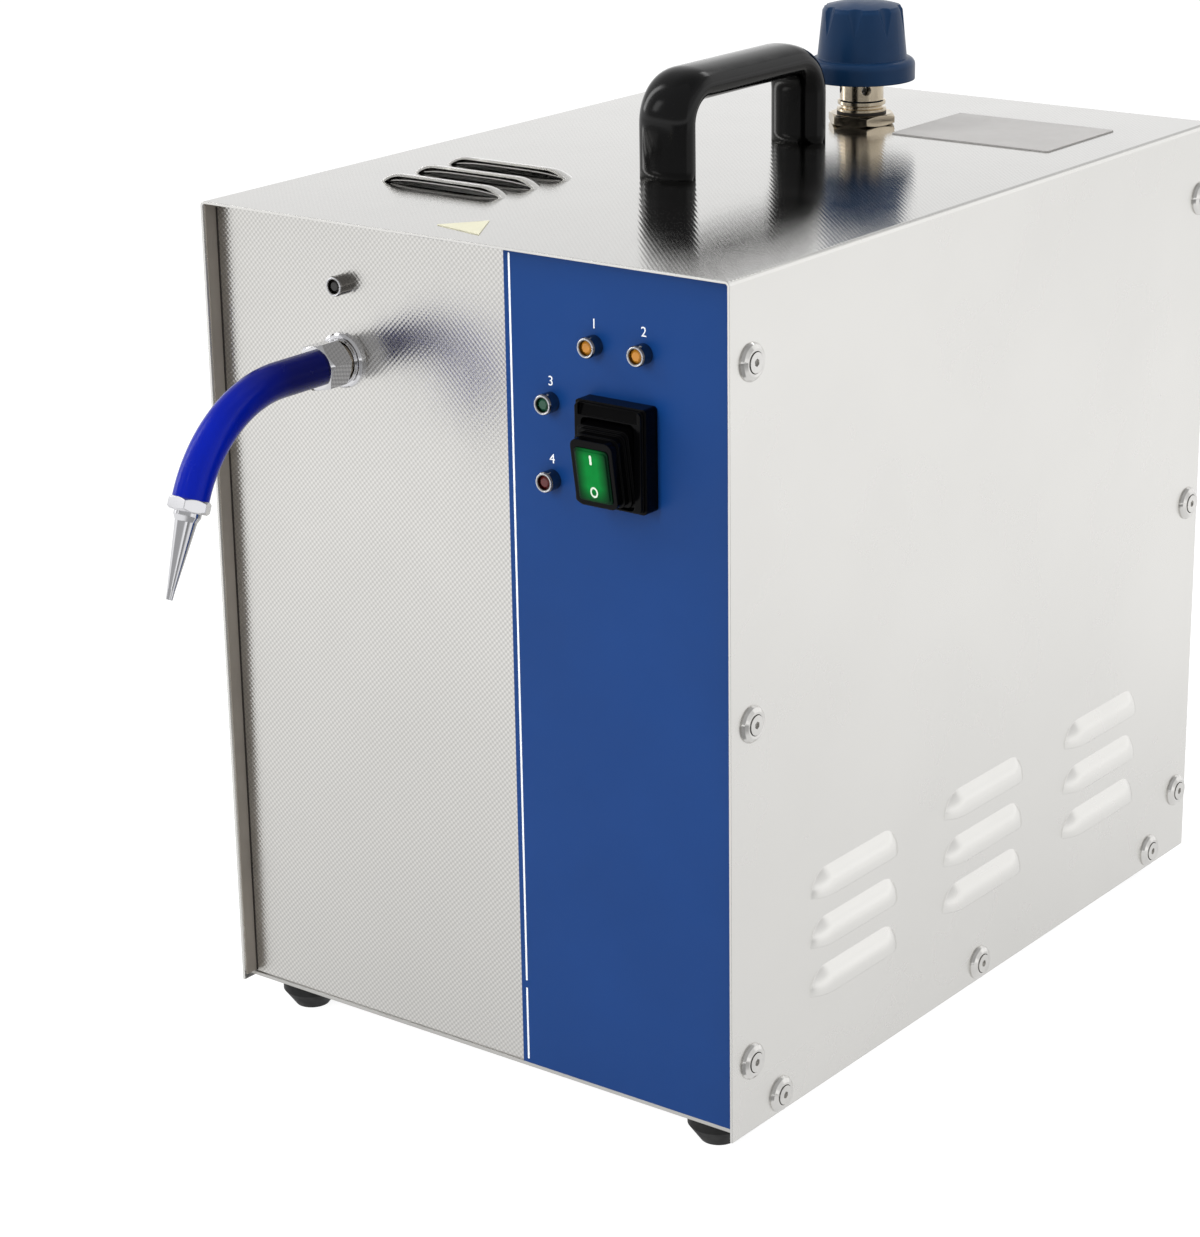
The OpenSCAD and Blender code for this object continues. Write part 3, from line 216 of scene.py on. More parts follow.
def surface(
    name,
    colour,
    rough=0.4,
    metal=0.0,
    tint=0.06,
    tint_scale=25,
    rough_spread=0.06,
    grain=0.0,
    grain_scale=1800,
    bevel=0.0,
    pale_edges=0.0,
    gleam=0.5,
    extra=None,
):
    """A plain finish: slow drift of colour and gloss, fine grain, softened edges."""
    g = Graph(name)
    drift = g.noise(tint_scale, 3.0, 0.55)
    low = shade(colour, 1 - tint)
    high = tuple(min(1, c * (1 + tint)) for c in colour) + (1,)
    paint = g.blend(g.remap(drift, 0, 1, 0.3, 0.7), low, high)
    # edges painted paler, in patches along them
    if pale_edges:
        mask = g.math("MULTIPLY", g.edges(0.0006), g.remap(g.noise(300, 4), 0, pale_edges, 0.4, 0.7))
        pale = tuple(min(1, c * 1.5 + 0.03) for c in colour) + (1,)
        paint = g.blend(mask, paint, pale)
    g.feed(paint, g.shader.inputs["Base Color"])
    gloss = g.remap(g.noise(tint_scale * 3, 4.0, 0.6), rough - rough_spread, rough + rough_spread, 0.3, 0.7)
    g.feed(gloss, g.shader.inputs["Roughness"])
    g.shader.inputs["Metallic"].default_value = metal
    g.shader.inputs["Specular IOR Level"].default_value = gleam
    if grain:
        g.raise_by(g.noise(grain_scale), grain)
    if extra:
        extra(g)
    return g.close(bevel)


LINEN_PITCH = 0.0022
LINEN_SWING = 1.2  # the wave runs from -2 to 2; its contrast is full from here on


def linen_wave(g, first, second):
    """Two crossing sets of diagonal waves over the plane of the two named axes."""
    axes = g.add("ShaderNodeSeparateXYZ", {"Vector": g.place})
    a, b = axes.outputs[first], axes.outputs[second]
    turn = 2 * math.pi / LINEN_PITCH
    up = g.math("SINE", g.math("MULTIPLY", g.math("ADD", a, b), turn))
    down = g.math("SINE", g.math("MULTIPLY", g.math("SUBTRACT", a, b), turn))
    return g.math("ADD", up, down)


def linen(first, second, depth, contrast):
    """Rolled-in linen: raised dots that also catch a little more light than the ground between them."""

    def add_to(g):
        wave = linen_wave(g, first, second)
        g.raise_by(wave, depth)
        paint = g.shader.inputs["Base Color"].links[0].from_socket
        level = g.remap(wave, 1 - contrast, 1.0, -LINEN_SWING, LINEN_SWING)
        grey = g.add("ShaderNodeCombineColor", {0: level, 1: level, 2: level}).outputs[0]
        mix = g.add("ShaderNodeMix", {0: 1.0, 6: paint, 7: grey}, data_type="RGBA", blend_type="MULTIPLY")
        g.feed(mix.outputs[2], g.shader.inputs["Base Color"])

    return add_to


# ---------------------------------------------------------------- finishes

STEEL = (0.8, 0.79, 0.765)


def hood_finish():
    """Sheet steel: linen-rolled and glossier on top, plain and duller on the sides; the top is painted darker than the
    sides as painted shade, with its linen dots painted lighter as painted highlights.
    """
    g = Graph("hood_steel")
    up = g.add("ShaderNodeSeparateXYZ", {"Vector": g.add("ShaderNodeNewGeometry").outputs["True Normal"]})
    top = g.remap(up.outputs["Z"], 0, 1, 0.6, 0.9)
    drift = g.remap(g.noise(7, 3.0, 0.6), 0, 1, 0.3, 0.7)
    side_paint = g.blend(drift, shade(STEEL, 0.93), shade(STEEL, 0.97))
    # painted light: the linen dots are painted lighter, and the whole top darker than the sides as painted shade
    dot_highlights = g.remap(linen_wave(g, "X", "Y"), 0.35, 0.65, -LINEN_SWING, LINEN_SWING)
    shaded_top_paint = g.blend(dot_highlights, shade(STEEL, 0.67), shade(STEEL, 0.79))
    g.feed(g.blend(top, side_paint, shaded_top_paint), g.shader.inputs["Base Color"])
    side_rough = g.remap(g.noise(18, 4.0, 0.6), 0.22, 0.3, 0.3, 0.7)
    top_rough = g.remap(g.noise(30, 4.0, 0.6), 0.09, 0.14, 0.3, 0.7)
    side_share = g.math("MULTIPLY", side_rough, g.math("SUBTRACT", 1.0, top))
    rough = g.math("ADD", side_share, g.math("MULTIPLY", top_rough, top))
    g.feed(rough, g.shader.inputs["Roughness"])
    g.shader.inputs["Metallic"].default_value = 1.0
    g.raise_by(g.noise(2500), 0.000005)
    g.raise_by(g.math("MULTIPLY", linen_wave(g, "X", "Y"), top), 0.000006)
    return g.close(0.0004)


LENS_DROP = 3.5  # from the switch's middle down to the lit field's
SLEEVE_SHADED, SLEEVE_LIT = 34, 78  # how far before the panel the sleeve's painted shade starts and stops giving way to painted light


def rocker_finish():
    """Clear green plastic, lit from inside: bright in its middle and deep at its rim."""
    g = Graph("rocker_green")
    axes = g.add("ShaderNodeSeparateXYZ", {"Vector": g.place})
    across = g.math("ABSOLUTE", g.math("SUBTRACT", axes.outputs["X"], SWITCH[0] * MM))
    along = g.math("ABSOLUTE", g.math("SUBTRACT", axes.outputs["Z"], (SWITCH[1] - LENS_DROP) * MM))
    sides = g.remap(across, 1.0, 0.0, 0.0024, 0.0068)
    ends = g.remap(along, 1.0, 0.05, 0.0055, 0.0115)
    lit = g.math("MULTIPLY", sides, ends)
    lit = g.math("MULTIPLY", lit, g.remap(g.noise(260, 3.0), 0.85, 1.0, 0.3, 0.7))
    g.feed(g.blend(lit, (0.0, 0.012, 0.004, 1), (0.0, 0.15, 0.024, 1)), g.shader.inputs["Base Color"])
    g.feed(g.blend(lit, (0.0, 0.004, 0.001, 1), (0.0, 0.11, 0.015, 1)), g.shader.inputs["Emission Color"])
    g.shader.inputs["Emission Strength"].default_value = 0.6
    g.shader.inputs["Roughness"].default_value = 0.13
    g.shader.inputs["Specular IOR Level"].default_value = 0.08
    g.raise_by(g.noise(500, 2.0), 0.000006)
    return g.close(0.0005)


def sleeve_finish():
    """Shrunk-on blue tubing, painted deeper near the nut as painted shade and brighter further out at its bend as
    painted light.
    """
    g = Graph("sleeve_blue")
    axes = g.add("ShaderNodeSeparateXYZ", {"Vector": g.place})
    # painted light: the colour runs from painted shade near the panel to painted light further out
    out = g.remap(axes.outputs["Y"], 0.0, 1.0, (PANEL_Y - SLEEVE_SHADED) * MM, (PANEL_Y - SLEEVE_LIT) * MM)
    drift = g.remap(g.noise(45, 3.0), -0.08, 0.08, 0.3, 0.7)
    paint = g.blend(g.math("ADD", out, drift), (0.0003, 0.0022, 0.085, 1), (0.0004, 0.009, 0.29, 1))
    g.feed(paint, g.shader.inputs["Base Color"])
    g.feed(g.remap(g.noise(120, 3.0), 0.2, 0.28, 0.3, 0.7), g.shader.inputs["Roughness"])
    g.shader.inputs["Specular IOR Level"].default_value = 0.14
    g.raise_by(g.noise(900, 2.0), 0.000004)
    return g.close()


MATERIALS = {
    "hood": hood_finish(),
    "front": surface(
        "front_linen", (0.74, 0.73, 0.705), rough=0.24, metal=1.0, tint=0.02, tint_scale=8, rough_spread=0.04,
        bevel=0.0004, extra=linen("X", "Z", 0.000011, 0.24),
    ),
    "steel": surface(
        "plain_steel", (0.6, 0.59, 0.57), rough=0.34, metal=1.0, tint=0.05, tint_scale=15, rough_spread=0.08,
        grain=0.00002, bevel=0.0004,
    ),
    "overlay": surface(
        "overlay_blue", (0.0038, 0.04, 0.175), tint=0.05, tint_scale=14, rough_spread=0.05, grain=0.000006,
        grain_scale=2600, bevel=0.0003, gleam=0.2,
    ),
    "rubber": surface(
        "black_rubber", (0.01, 0.01, 0.01), rough=0.6, tint=0.15, tint_scale=60, rough_spread=0.1,
        grain=0.00004, grain_scale=900, bevel=0.0006, gleam=0.3,
    ),
    "screw": surface(
        "screw_steel", (0.7, 0.69, 0.67), rough=0.14, metal=1.0, tint_scale=90, grain=0.00001, bevel=0.0003,
    ),
    "handle": surface(
        "handle_black", (0.001, 0.001, 0.0012), rough=0.14, tint=0.1, tint_scale=30, rough_spread=0.03,
        grain=0.000001, grain_scale=900, gleam=0.26,
    ),
    "plate": surface(
        "plate_grey", linear((172, 170, 168)), rough=0.45, tint=0.04, tint_scale=30, grain=0.000006,
        bevel=0.0002,
    ),
    "patch": surface(
        "patch_yellow", linear((214, 211, 186)), rough=0.5, tint_scale=60, rough_spread=0.05, bevel=0.0001,
    ),
    "brass": surface(
        "nickel_brass", (0.6, 0.52, 0.4), rough=0.18, metal=1.0, tint=0.1, tint_scale=80, rough_spread=0.08,
        grain=0.00001, bevel=0.0004,
    ),
    "seal": surface(
        "seal_rubber", (0.02, 0.017, 0.015), rough=0.6, tint=0.15, tint_scale=80, rough_spread=0.1,
        grain=0.00002, bevel=0.0003, gleam=0.3,
    ),
    "knob": surface(
        "knob_blue", (0.006, 0.027, 0.075), rough=0.34, tint=0.08, tint_scale=40, grain=0.00001,
        grain_scale=1600, bevel=0.0009, pale_edges=0.2, gleam=0.16,
    ),
    "spring": surface("spring_steel", (0.5, 0.5, 0.51), rough=0.25, metal=1.0, tint=0.08, tint_scale=90),
    "chrome": surface(
        "chrome", (0.66, 0.66, 0.68), rough=0.06, metal=1.0, tint=0.03, tint_scale=50, rough_spread=0.03,
        bevel=0.0004,
    ),
    "bezel": surface(
        "dark_chrome", (0.2, 0.19, 0.18), rough=0.12, metal=1.0, tint_scale=90, rough_spread=0.05, bevel=0.0003,
    ),
    "sleeve": sleeve_finish(),
    "amber": surface(
        "lens_amber", linear((176, 116, 30)), rough=0.18, tint=0.12, tint_scale=250, rough_spread=0.05,
        bevel=0.0003, gleam=0.6,
    ),
    "green": surface(
        "lens_green", linear((12, 66, 46)), rough=0.18, tint=0.12, tint_scale=250, rough_spread=0.05,
        bevel=0.0003, gleam=0.6,
    ),
    "red": surface(
        "lens_red", linear((78, 18, 16)), rough=0.18, tint=0.12, tint_scale=250, rough_spread=0.05,
        bevel=0.0003, gleam=0.6,
    ),
    "dark_lens": surface(
        "lens_dark", (0.006, 0.005, 0.005), rough=0.16, tint=0.12, tint_scale=250, rough_spread=0.05,
        bevel=0.0003, gleam=0.6,
    ),
    "switch": surface(
        "switch_black", (0.001, 0.001, 0.0012), rough=0.12, tint=0.1, tint_scale=70, rough_spread=0.04,
        grain=0.000004, bevel=0.0005, gleam=0.08,
    ),
    "boot": surface(
        "boot_black", (0.001, 0.001, 0.0012), rough=0.16, tint=0.12, tint_scale=90, rough_spread=0.05,
        grain=0.000003, bevel=0.0005, gleam=0.09,
    ),
    "rocker": rocker_finish(),
    "copper": surface(
        "copper", (0.72, 0.38, 0.24), rough=0.28, metal=1.0, tint=0.1, tint_scale=60, rough_spread=0.08,
        grain=0.00001, bevel=0.0003,
    ),
    "moulded": surface(
        "moulded_black", (0.012, 0.012, 0.013), rough=0.45, tint=0.1, tint_scale=60, rough_spread=0.08,
        grain=0.00001, bevel=0.0004, gleam=0.3,
    ),
    "lever": surface(
        "lever_red", linear((170, 28, 22)), rough=0.32, tint=0.08, tint_scale=60, grain=0.00001, bevel=0.0008,
    ),
    "board": surface("board_green", linear((24, 78, 44)), tint=0.1, tint_scale=60, grain=0.00001, bevel=0.0003),
    "mark": surface(
        "pale_mark", linear((206, 222, 204)), rough=0.35, tint=0.03, tint_scale=80, rough_spread=0.05,
        grain=0.000004, gleam=0.3,
    ),
    # painted shade: a dull brown-grey for the shaded inner walls of the recess
    "recess_shade": surface(
        "recess_shade_band", linear((146, 139, 130)), rough=0.5, tint=0.12, tint_scale=30, rough_spread=0.08,
        grain=0.00002, grain_scale=900, gleam=0.3,
    ),
    "ink": surface(
        "white_ink", linear((236, 240, 244)), rough=0.45, tint=0.02, tint_scale=60, rough_spread=0.05,
        grain=0.000004,
    ),
}

FINISH = {
    "hood": "hood rear_panel",
    "front": "front_panel",
    "steel": "base_tray boiler_saddles boiler filler_neck relief_poppet valve_plunger",
    "overlay": "control_overlay",
    "rubber": "foot_front_left foot_front_right foot_rear_left foot_rear_right",
    "screw": "foot_screws cup_washers case_screws handle_screws",
    "handle": "handle",
    "plate": "top_plate rating_plate",
    "patch": "top_patch",
    "brass": (
        "filler_nut cap_valve_body drain_valve spout_bulkhead panel_nuts valve_body inlet_pins pressure_switch"
    ),
    "seal": "cap_gasket",
    "knob": "cap_knob",
    "spring": "relief_spring valve_spring",
    "chrome": "spout_flange spout_nut spout_tube spout_collar spout_nozzle",
    "bezel": "lamp_bezel_1 lamp_bezel_2 lamp_bezel_3 lamp_bezel_4 pilot_bezel",
    "sleeve": "spout_sleeve",
    "amber": "lamp_lens_1 lamp_lens_2",
    "green": "lamp_lens_3",
    "red": "lamp_lens_4",
    "dark_lens": "pilot_lens",
    "switch": "switch_housing",
    "boot": "switch_boot",
    "rocker": "switch_lens",
    "copper": "pipework heater",
    "moulded": "valve_coil mains_inlet foot_jack",
    "lever": "drain_lever",
    "board": "control_board",
}
for finish, names in FINISH.items():
    for name in names.split():
        mesh_object = NODES[name]
        if not mesh_object.material_slots:
            mesh_object.data.materials.append(None)
        for material_slot in mesh_object.material_slots:
            material_slot.material = MATERIALS[finish]

# ---------------------------------------------------------------- mesh helpers


def piece(name, mesh, material, body, smooth=True):
    """A mesh given in metres in the part's frame, with its finish, that rides on a body."""
    mesh.materials.append(MATERIALS[material])
    if smooth:
        mesh.polygons.foreach_set("use_smooth", [True] * len(mesh.polygons))
    made = bpy.data.objects.new(name, mesh)
    bpy.context.scene.collection.objects.link(made)
    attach(made, body)
    return made


def mesh_from(name, points, faces, scale=MM):
    mesh = bpy.data.meshes.new(name)
    mesh.from_pydata([tuple(c * scale for c in p) for p in points], [], faces)
    mesh.validate()
    mesh.update()
    return mesh


def tube_along(name, path, radius, sides=10):
    """A round tube through the given points, closed at both ends."""
    path = [Vector(p) for p in path]
    points, faces = [], []
    side = None
    for i, p in enumerate(path):
        ahead = (path[min(i + 1, len(path) - 1)] - path[max(i - 1, 0)]).normalized()
        if side is None:
            side = ahead.orthogonal().normalized()
        side = (side - ahead * side.dot(ahead)).normalized()
        other = ahead.cross(side)
        for k in range(sides):
            a = 2 * math.pi * k / sides
            points.append(p + radius * (math.cos(a) * side + math.sin(a) * other))
    for i in range(len(path) - 1):
        for k in range(sides):
            n = (k + 1) % sides
            faces.append((i * sides + k, i * sides + n, (i + 1) * sides + n, (i + 1) * sides + k))
    faces.append(tuple(reversed(range(sides))))
    faces.append(tuple((len(path) - 1) * sides + k for k in range(sides)))
    return mesh_from(name, points, faces)


def coil(name, centre, radius, wire, length, turns, steps=24):
    """A compression spring that stands on the centre point, with closed end turns."""
    path = []
    total = turns + 2
    rise = (length - 3 * wire) / turns
    for i in range(int(total * steps) + 1):
        t = i / steps
        if t < 1:
            z = wire * t
        elif t < 1 + turns:
            z = wire + (t - 1) * rise
        else:
            z = wire + turns * rise + wire * (t - 1 - turns)
        a = 2 * math.pi * t
        path.append(
            (centre[0] + radius * math.cos(a), centre[1] + radius * math.sin(a), centre[2] + wire / 2 + z)
        )
    return tube_along(name, path, wire / 2)


# ---------------------------------------------------------------- printed marks


def flat_strip(name, x0, x1, z0, z1, y, depth=0.06):
    """A printed bar with rounded ends on a wall that faces -Y."""
    r = (x1 - x0) / 2
    middle = (x0 + x1) / 2
    outline = []
    for k in range(9):
        a = math.pi * k / 8
        outline.append((middle + r * math.cos(a), z1 - r + r * math.sin(a)))
    for k in range(9):
        a = math.pi + math.pi * k / 8
        outline.append((middle + r * math.cos(a), z0 + r + r * math.sin(a)))
    n = len(outline)
    points = [(x, y - depth, z) for x, z in outline] + [(x, y, z) for x, z in outline]
    faces = [tuple(range(n)), tuple(reversed(range(n, 2 * n)))]
    faces += [(k, k + n, (k + 1) % n + n, (k + 1) % n) for k in range(n)]
    return mesh_from(name, points, faces)


LINE_X = OVERLAY_X + 2.6
LINE_HALF = 0.42
for label, low, high in (("overlay_line_long", 48.9, 338.6), ("overlay_line_short", 15.1, 45.9)):
    line = flat_strip(label, LINE_X - LINE_HALF, LINE_X + LINE_HALF, low, high, OVERLAY_Y)
    piece(label, line, "ink", "case", False)


NUMBER_HEIGHT = 5.2
NUMBER_RISE = 6.2  # from the lamp's middle up to the number's foot
INK = 0.03


def number(name, text, x, z):
    """A printed number that stands on the given point of the overlay."""
    curve = bpy.data.curves.new(name, "FONT")
    curve.body = text
    curve.size = NUMBER_HEIGHT * MM
    curve.extrude = INK * MM
    curve.align_x = "CENTER"
    holder = bpy.data.objects.new(name + "_text", curve)
    bpy.context.scene.collection.objects.link(holder)
    bpy.context.view_layer.update()
    mesh = bpy.data.meshes.new_from_object(holder.evaluated_get(bpy.context.evaluated_depsgraph_get()))
    bpy.data.objects.remove(holder)
    stand = Matrix.Rotation(math.pi / 2, 4, "X")
    mesh.transform(Matrix.Translation(Vector((x, OVERLAY_Y - INK, z)) * MM) @ stand)
    return mesh


for key, (x, z) in LAMPS.items():
    label = "lamp_number_" + key
    piece(label, number(label, key, x, z + NUMBER_RISE), "ink", "case", False)

# ---------------------------------------------------------------- the rocker's marks

ROCKER_TILT = math.radians(9)
ROCKER_AXIS = (SWITCH[0], PANEL_Y - 5.6, SWITCH[1] - 2.2)
LENS_FACE = 13.39  # from the hinge out to the lens's face
MARK = (LENS_FACE - 0.02, LENS_FACE + 0.05)
ON_LOW, ON_HIGH, OFF_MIDDLE = 4.6, 7.4, -6.6  # heights of the signs above the hinge


def on_rocker(mesh):
    """Carries a mesh in metres from the rocker's own plane (Z outwards, Y up) to its place."""
    turn = Matrix.Rotation(math.pi / 2, 4, "X") @ Matrix.Rotation(ROCKER_TILT, 4, "X")
    mesh.transform(Matrix.Translation(Vector(ROCKER_AXIS) * MM) @ turn)
    return mesh


def extruded(name, outlines, low, high):
    """A flat form between two heights; a second outline is a hole with as many points as the first."""
    points, faces = [], []
    n = len(outlines[0])
    for z in (low, high):
        for outline in outlines:
            points += [(x, y, z) for x, y in outline]
    layers = len(outlines)
    for k in range(n):
        m = (k + 1) % n
        top = layers * n
        faces.append((k, m, top + m, top + k))
        if layers == 2:
            faces.append((n + m, n + k, top + n + k, top + n + m))
            faces.append((top + k, top + m, top + n + m, top + n + k))
            faces.append((m, k, n + k, n + m))
    if layers == 1:
        faces.append(tuple(n + k for k in range(n)))
        faces.append(tuple(reversed(range(n))))
    return mesh_from(name, points, faces)


def circle(radius, x=0.0, y=0.0, count=40, wide=1.0):
    return [
        (x + wide * radius * math.cos(2 * math.pi * k / count), y + radius * math.sin(2 * math.pi * k / count))
        for k in range(count)
    ]


BAR = [(x, (ON_LOW if y < 0 else ON_HIGH) + y) for x, y in circle(0.5, count=16)]
RING = [circle(radius, 0, OFF_MIDDLE, wide=0.8) for radius in (2.1, 1.35)]
for label, outlines in (("rocker_mark_on", [BAR]), ("rocker_mark_off", RING)):
    piece(label, on_rocker(extruded(label, outlines, *MARK)), "mark", "rocker", False)

# ---------------------------------------------------------------- springs in place of the plain CAD rings

CAP_SPRING = node_box("relief_spring")
spring = piece(
    "relief_coil",
    coil("relief_coil", (0, FILL_Y, CAP_SPRING[0][2]), 4.3, 1.0, CAP_SPRING[1][2] - CAP_SPRING[0][2], 6),
    "spring", "cap",
)
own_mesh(spring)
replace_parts(spring, "relief_spring")
VALVE_SPRING = node_box("valve_spring")
spring = piece(
    "valve_coil_spring",
    coil(
        "valve_coil_spring", (SPOUT[0], VALVE_Y, VALVE_SPRING[0][2]), 4.2, 0.8,
        VALVE_SPRING[1][2] - VALVE_SPRING[0][2], 5,
    ),
    "spring", "case",
)
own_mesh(spring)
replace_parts(spring, "valve_spring")

# ---------------------------------------------------------------- the handle as one smooth bent bar


def swept(name, path, section):
    """A closed section carried along a path of (point, outward axis, sideways axis)."""
    points, faces = [], []
    n = len(section)
    for place, out, side in path:
        points += [Vector(place) + out * v + side * u for u, v in section]
    for i in range(len(path) - 1):
        for k in range(n):
            m = (k + 1) % n
            faces.append((i * n + k, (i + 1) * n + k, (i + 1) * n + m, i * n + m))
    faces.append(tuple(range(n)))
    faces.append(tuple(reversed(range((len(path) - 1) * n, len(path) * n))))
    return mesh_from(name, points, faces)


BAR_THICK, BAR_BEND = 13.5, 14.25
AROUND, IN_BEND, IN_LEG, IN_SPAN = 56, 16, 6, 8  # steps of the handle's mesh


def bent_handle():
    """An oval bar that rises, turns back over the hood and comes down again."""
    low, high = node_box("handle")
    wide, thick, bend = high[0] - low[0], BAR_THICK, BAR_BEND
    foot, crown = low[2], high[2] - thick / 2
    y_front, y_rear = low[1] + thick / 2, high[1] - thick / 2
    section = []
    for k in range(AROUND):
        a = 2 * math.pi * k / AROUND
        c, d = math.cos(a), math.sin(a)
        section.append((wide / 2 * math.copysign(abs(c) ** 0.86, c), thick / 2 * math.copysign(abs(d) ** 0.9, d)))
    side, leg = Vector((1, 0, 0)), crown - bend - foot
    path = [((0, y_front, foot + leg * t / IN_LEG), Vector((0, -1, 0)), side) for t in range(IN_LEG)]
    for k in range(IN_BEND + 1):
        a = math.pi / 2 * k / IN_BEND
        out = Vector((0, -math.cos(a), math.sin(a)))
        path.append(((0, y_front + bend + bend * out.y, crown - bend + bend * out.z), out, side))
    span = y_rear - y_front - 2 * bend
    path += [((0, y_front + bend + span * t / IN_SPAN, crown), Vector((0, 0, 1)), side) for t in range(1, IN_SPAN)]
    for k in range(IN_BEND + 1):
        a = math.pi / 2 * k / IN_BEND
        out = Vector((0, math.sin(a), math.cos(a)))
        path.append(((0, y_rear - bend + bend * out.y, crown - bend + bend * out.z), out, side))
    path += [((0, y_rear, crown - bend - leg * t / IN_LEG), Vector((0, 1, 0)), side) for t in range(1, IN_LEG + 1)]
    return swept("handle_bar", path, section)


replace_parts(piece("handle_bar", bent_handle(), "handle", "case"), "handle")

# ---------------------------------------------------------------- bright rims on the lamps


RIM_RADIUS, RIM_WIRE, RIM_STEPS = 3.35, 0.7, 36


def rim(name, x, y, z):
    """A thin round rim on a wall that faces -Y."""
    path = []
    for k in range(RIM_STEPS + 1):
        a = 2 * math.pi * k / RIM_STEPS
        path.append((x + RIM_RADIUS * math.cos(a), y, z + RIM_RADIUS * math.sin(a)))
    return tube_along(name, path, RIM_WIRE / 2, 8)


for lamp in ("lamp_bezel_1", "lamp_bezel_2", "lamp_bezel_3", "lamp_bezel_4", "pilot_bezel"):
    low, high = node_box(lamp)
    label = lamp.replace("bezel", "rim")
    made = rim(label, (low[0] + high[0]) / 2, low[1] + 0.1, (low[2] + high[2]) / 2)
    piece(label, made, "chrome", "case")

# ---------------------------------------------------------------- lips inside the top louvres' mouths


LOUVRE_X, LIP_HALF, LIP_STEPS = -60.0, 27.5, 32
LIP_LOW, LIP_RISE, LIP_RADIUS = 0.4, 1.25, 0.42
FIRST_LIP, LOUVRE_PITCH = 67 + 1.3, 20.4  # behind the hood's front edge


def louvre_lip(y):
    """The lip's path: level across the mouth, and down to the sheet at both ends."""
    path = []
    for k in range(LIP_STEPS + 1):
        x = LOUVRE_X - LIP_HALF + 2 * LIP_HALF * k / LIP_STEPS
        path.append((x, y, TOP_Z + LIP_RISE * (1 - (abs(x - LOUVRE_X) / LIP_HALF) ** 4) + LIP_LOW))
    return path


for k in range(3):
    label = "louvre_lip_%d" % (k + 1)
    lip = louvre_lip(HOOD[0][1] + FIRST_LIP + LOUVRE_PITCH * k)
    piece(label, tube_along(label, lip, LIP_RADIUS, 8), "steel", "case")

# ---------------------------------------------------------------- a band of painted shade on the recess's walls


def recess_shade_band():
    """A thin U-shaped band of painted shade along the hood's inner walls, from its front edge back to the panel."""
    out_x, out_z, deep, turn = -node_box("front_panel")[0][0], TOP_Z - 1.0, 0.25, 1.0
    front, back = HOOD[0][1] + 1.2, PANEL_Y
    path = [(-out_x, HOOD[0][2] + 2, 1, 0)]
    for k in range(7):
        a = math.pi / 2 * k / 6
        x, z = -out_x + turn - turn * math.cos(a), out_z - turn + turn * math.sin(a)
        path.append((x, z, math.cos(a), -math.sin(a)))
    path += [(-x, z, -nx, nz) for x, z, nx, nz in reversed(path)]
    points, faces = [], []
    for x, z, nx, nz in path:
        in_x, in_z = x + deep * nx, z + deep * nz
        points += [(x, front, z), (in_x, front, in_z), (in_x, back, in_z), (x, back, z)]
    for i in range(len(path) - 1):
        for k in range(4):
            n = (k + 1) % 4
            faces.append((4 * i + k, 4 * i + n, 4 * i + 4 + n, 4 * i + 4 + k))
    end = 4 * (len(path) - 1)
    faces += [(3, 2, 1, 0), (end, end + 1, end + 2, end + 3)]
    return mesh_from("recess_shade_band", points, faces)


piece("recess_shade_band", recess_shade_band(), "recess_shade", "case", False)
JOINT_X, JOINT_HALF, JOINT_DEPTH = 123.3, 0.4, 0.12
JOINT_LOW, JOINT_HIGH = 14.0, TOP_Z - 3.5
for label, x in (("panel_joint_left", -JOINT_X), ("panel_joint_right", JOINT_X)):
    joint = flat_strip(label, x - JOINT_HALF, x + JOINT_HALF, JOINT_LOW, JOINT_HIGH, PANEL_Y, JOINT_DEPTH)
    piece(label, joint, "seal", "case", False)

# ---------------------------------------------------------------- lamps and lights


def make_light(name, place, target, wide, tall, power):
    """A flat lamp that lights surfaces but isn't mirrored in them."""
    data = bpy.data.lights.new(name, "AREA")
    data.shape = "RECTANGLE"
    data.size = wide
    data.size_y = tall
    data.energy = power
    lamp = bpy.data.objects.new(name, data)
    bpy.context.scene.collection.objects.link(lamp)
    direction = Vector(target) - Vector(place)
    lamp.rotation_euler = direction.to_track_quat("-Z", "Y").to_euler()
    lamp.location = place
    lamp.visible_glossy = False


# name, place and aim in metres, width, height, power
for lamp in (
    ("key", (-0.15, -1.75, 0.95), (0, 0, 0.3), 0.28, 0.9, 15),
    ("left", (-1.5, -1.0, 1.7), (0, 0, 0.15), 1.0, 1.0, 14),
    ("side", (1.9, 0.6, 1.2), (0, 0, 0.15), 1.0, 1.4, 16),
    ("top", (0.1, 0.4, 2.1), (0, 0, 0.2), 1.2, 1.2, 12),
):
    make_light(*lamp)


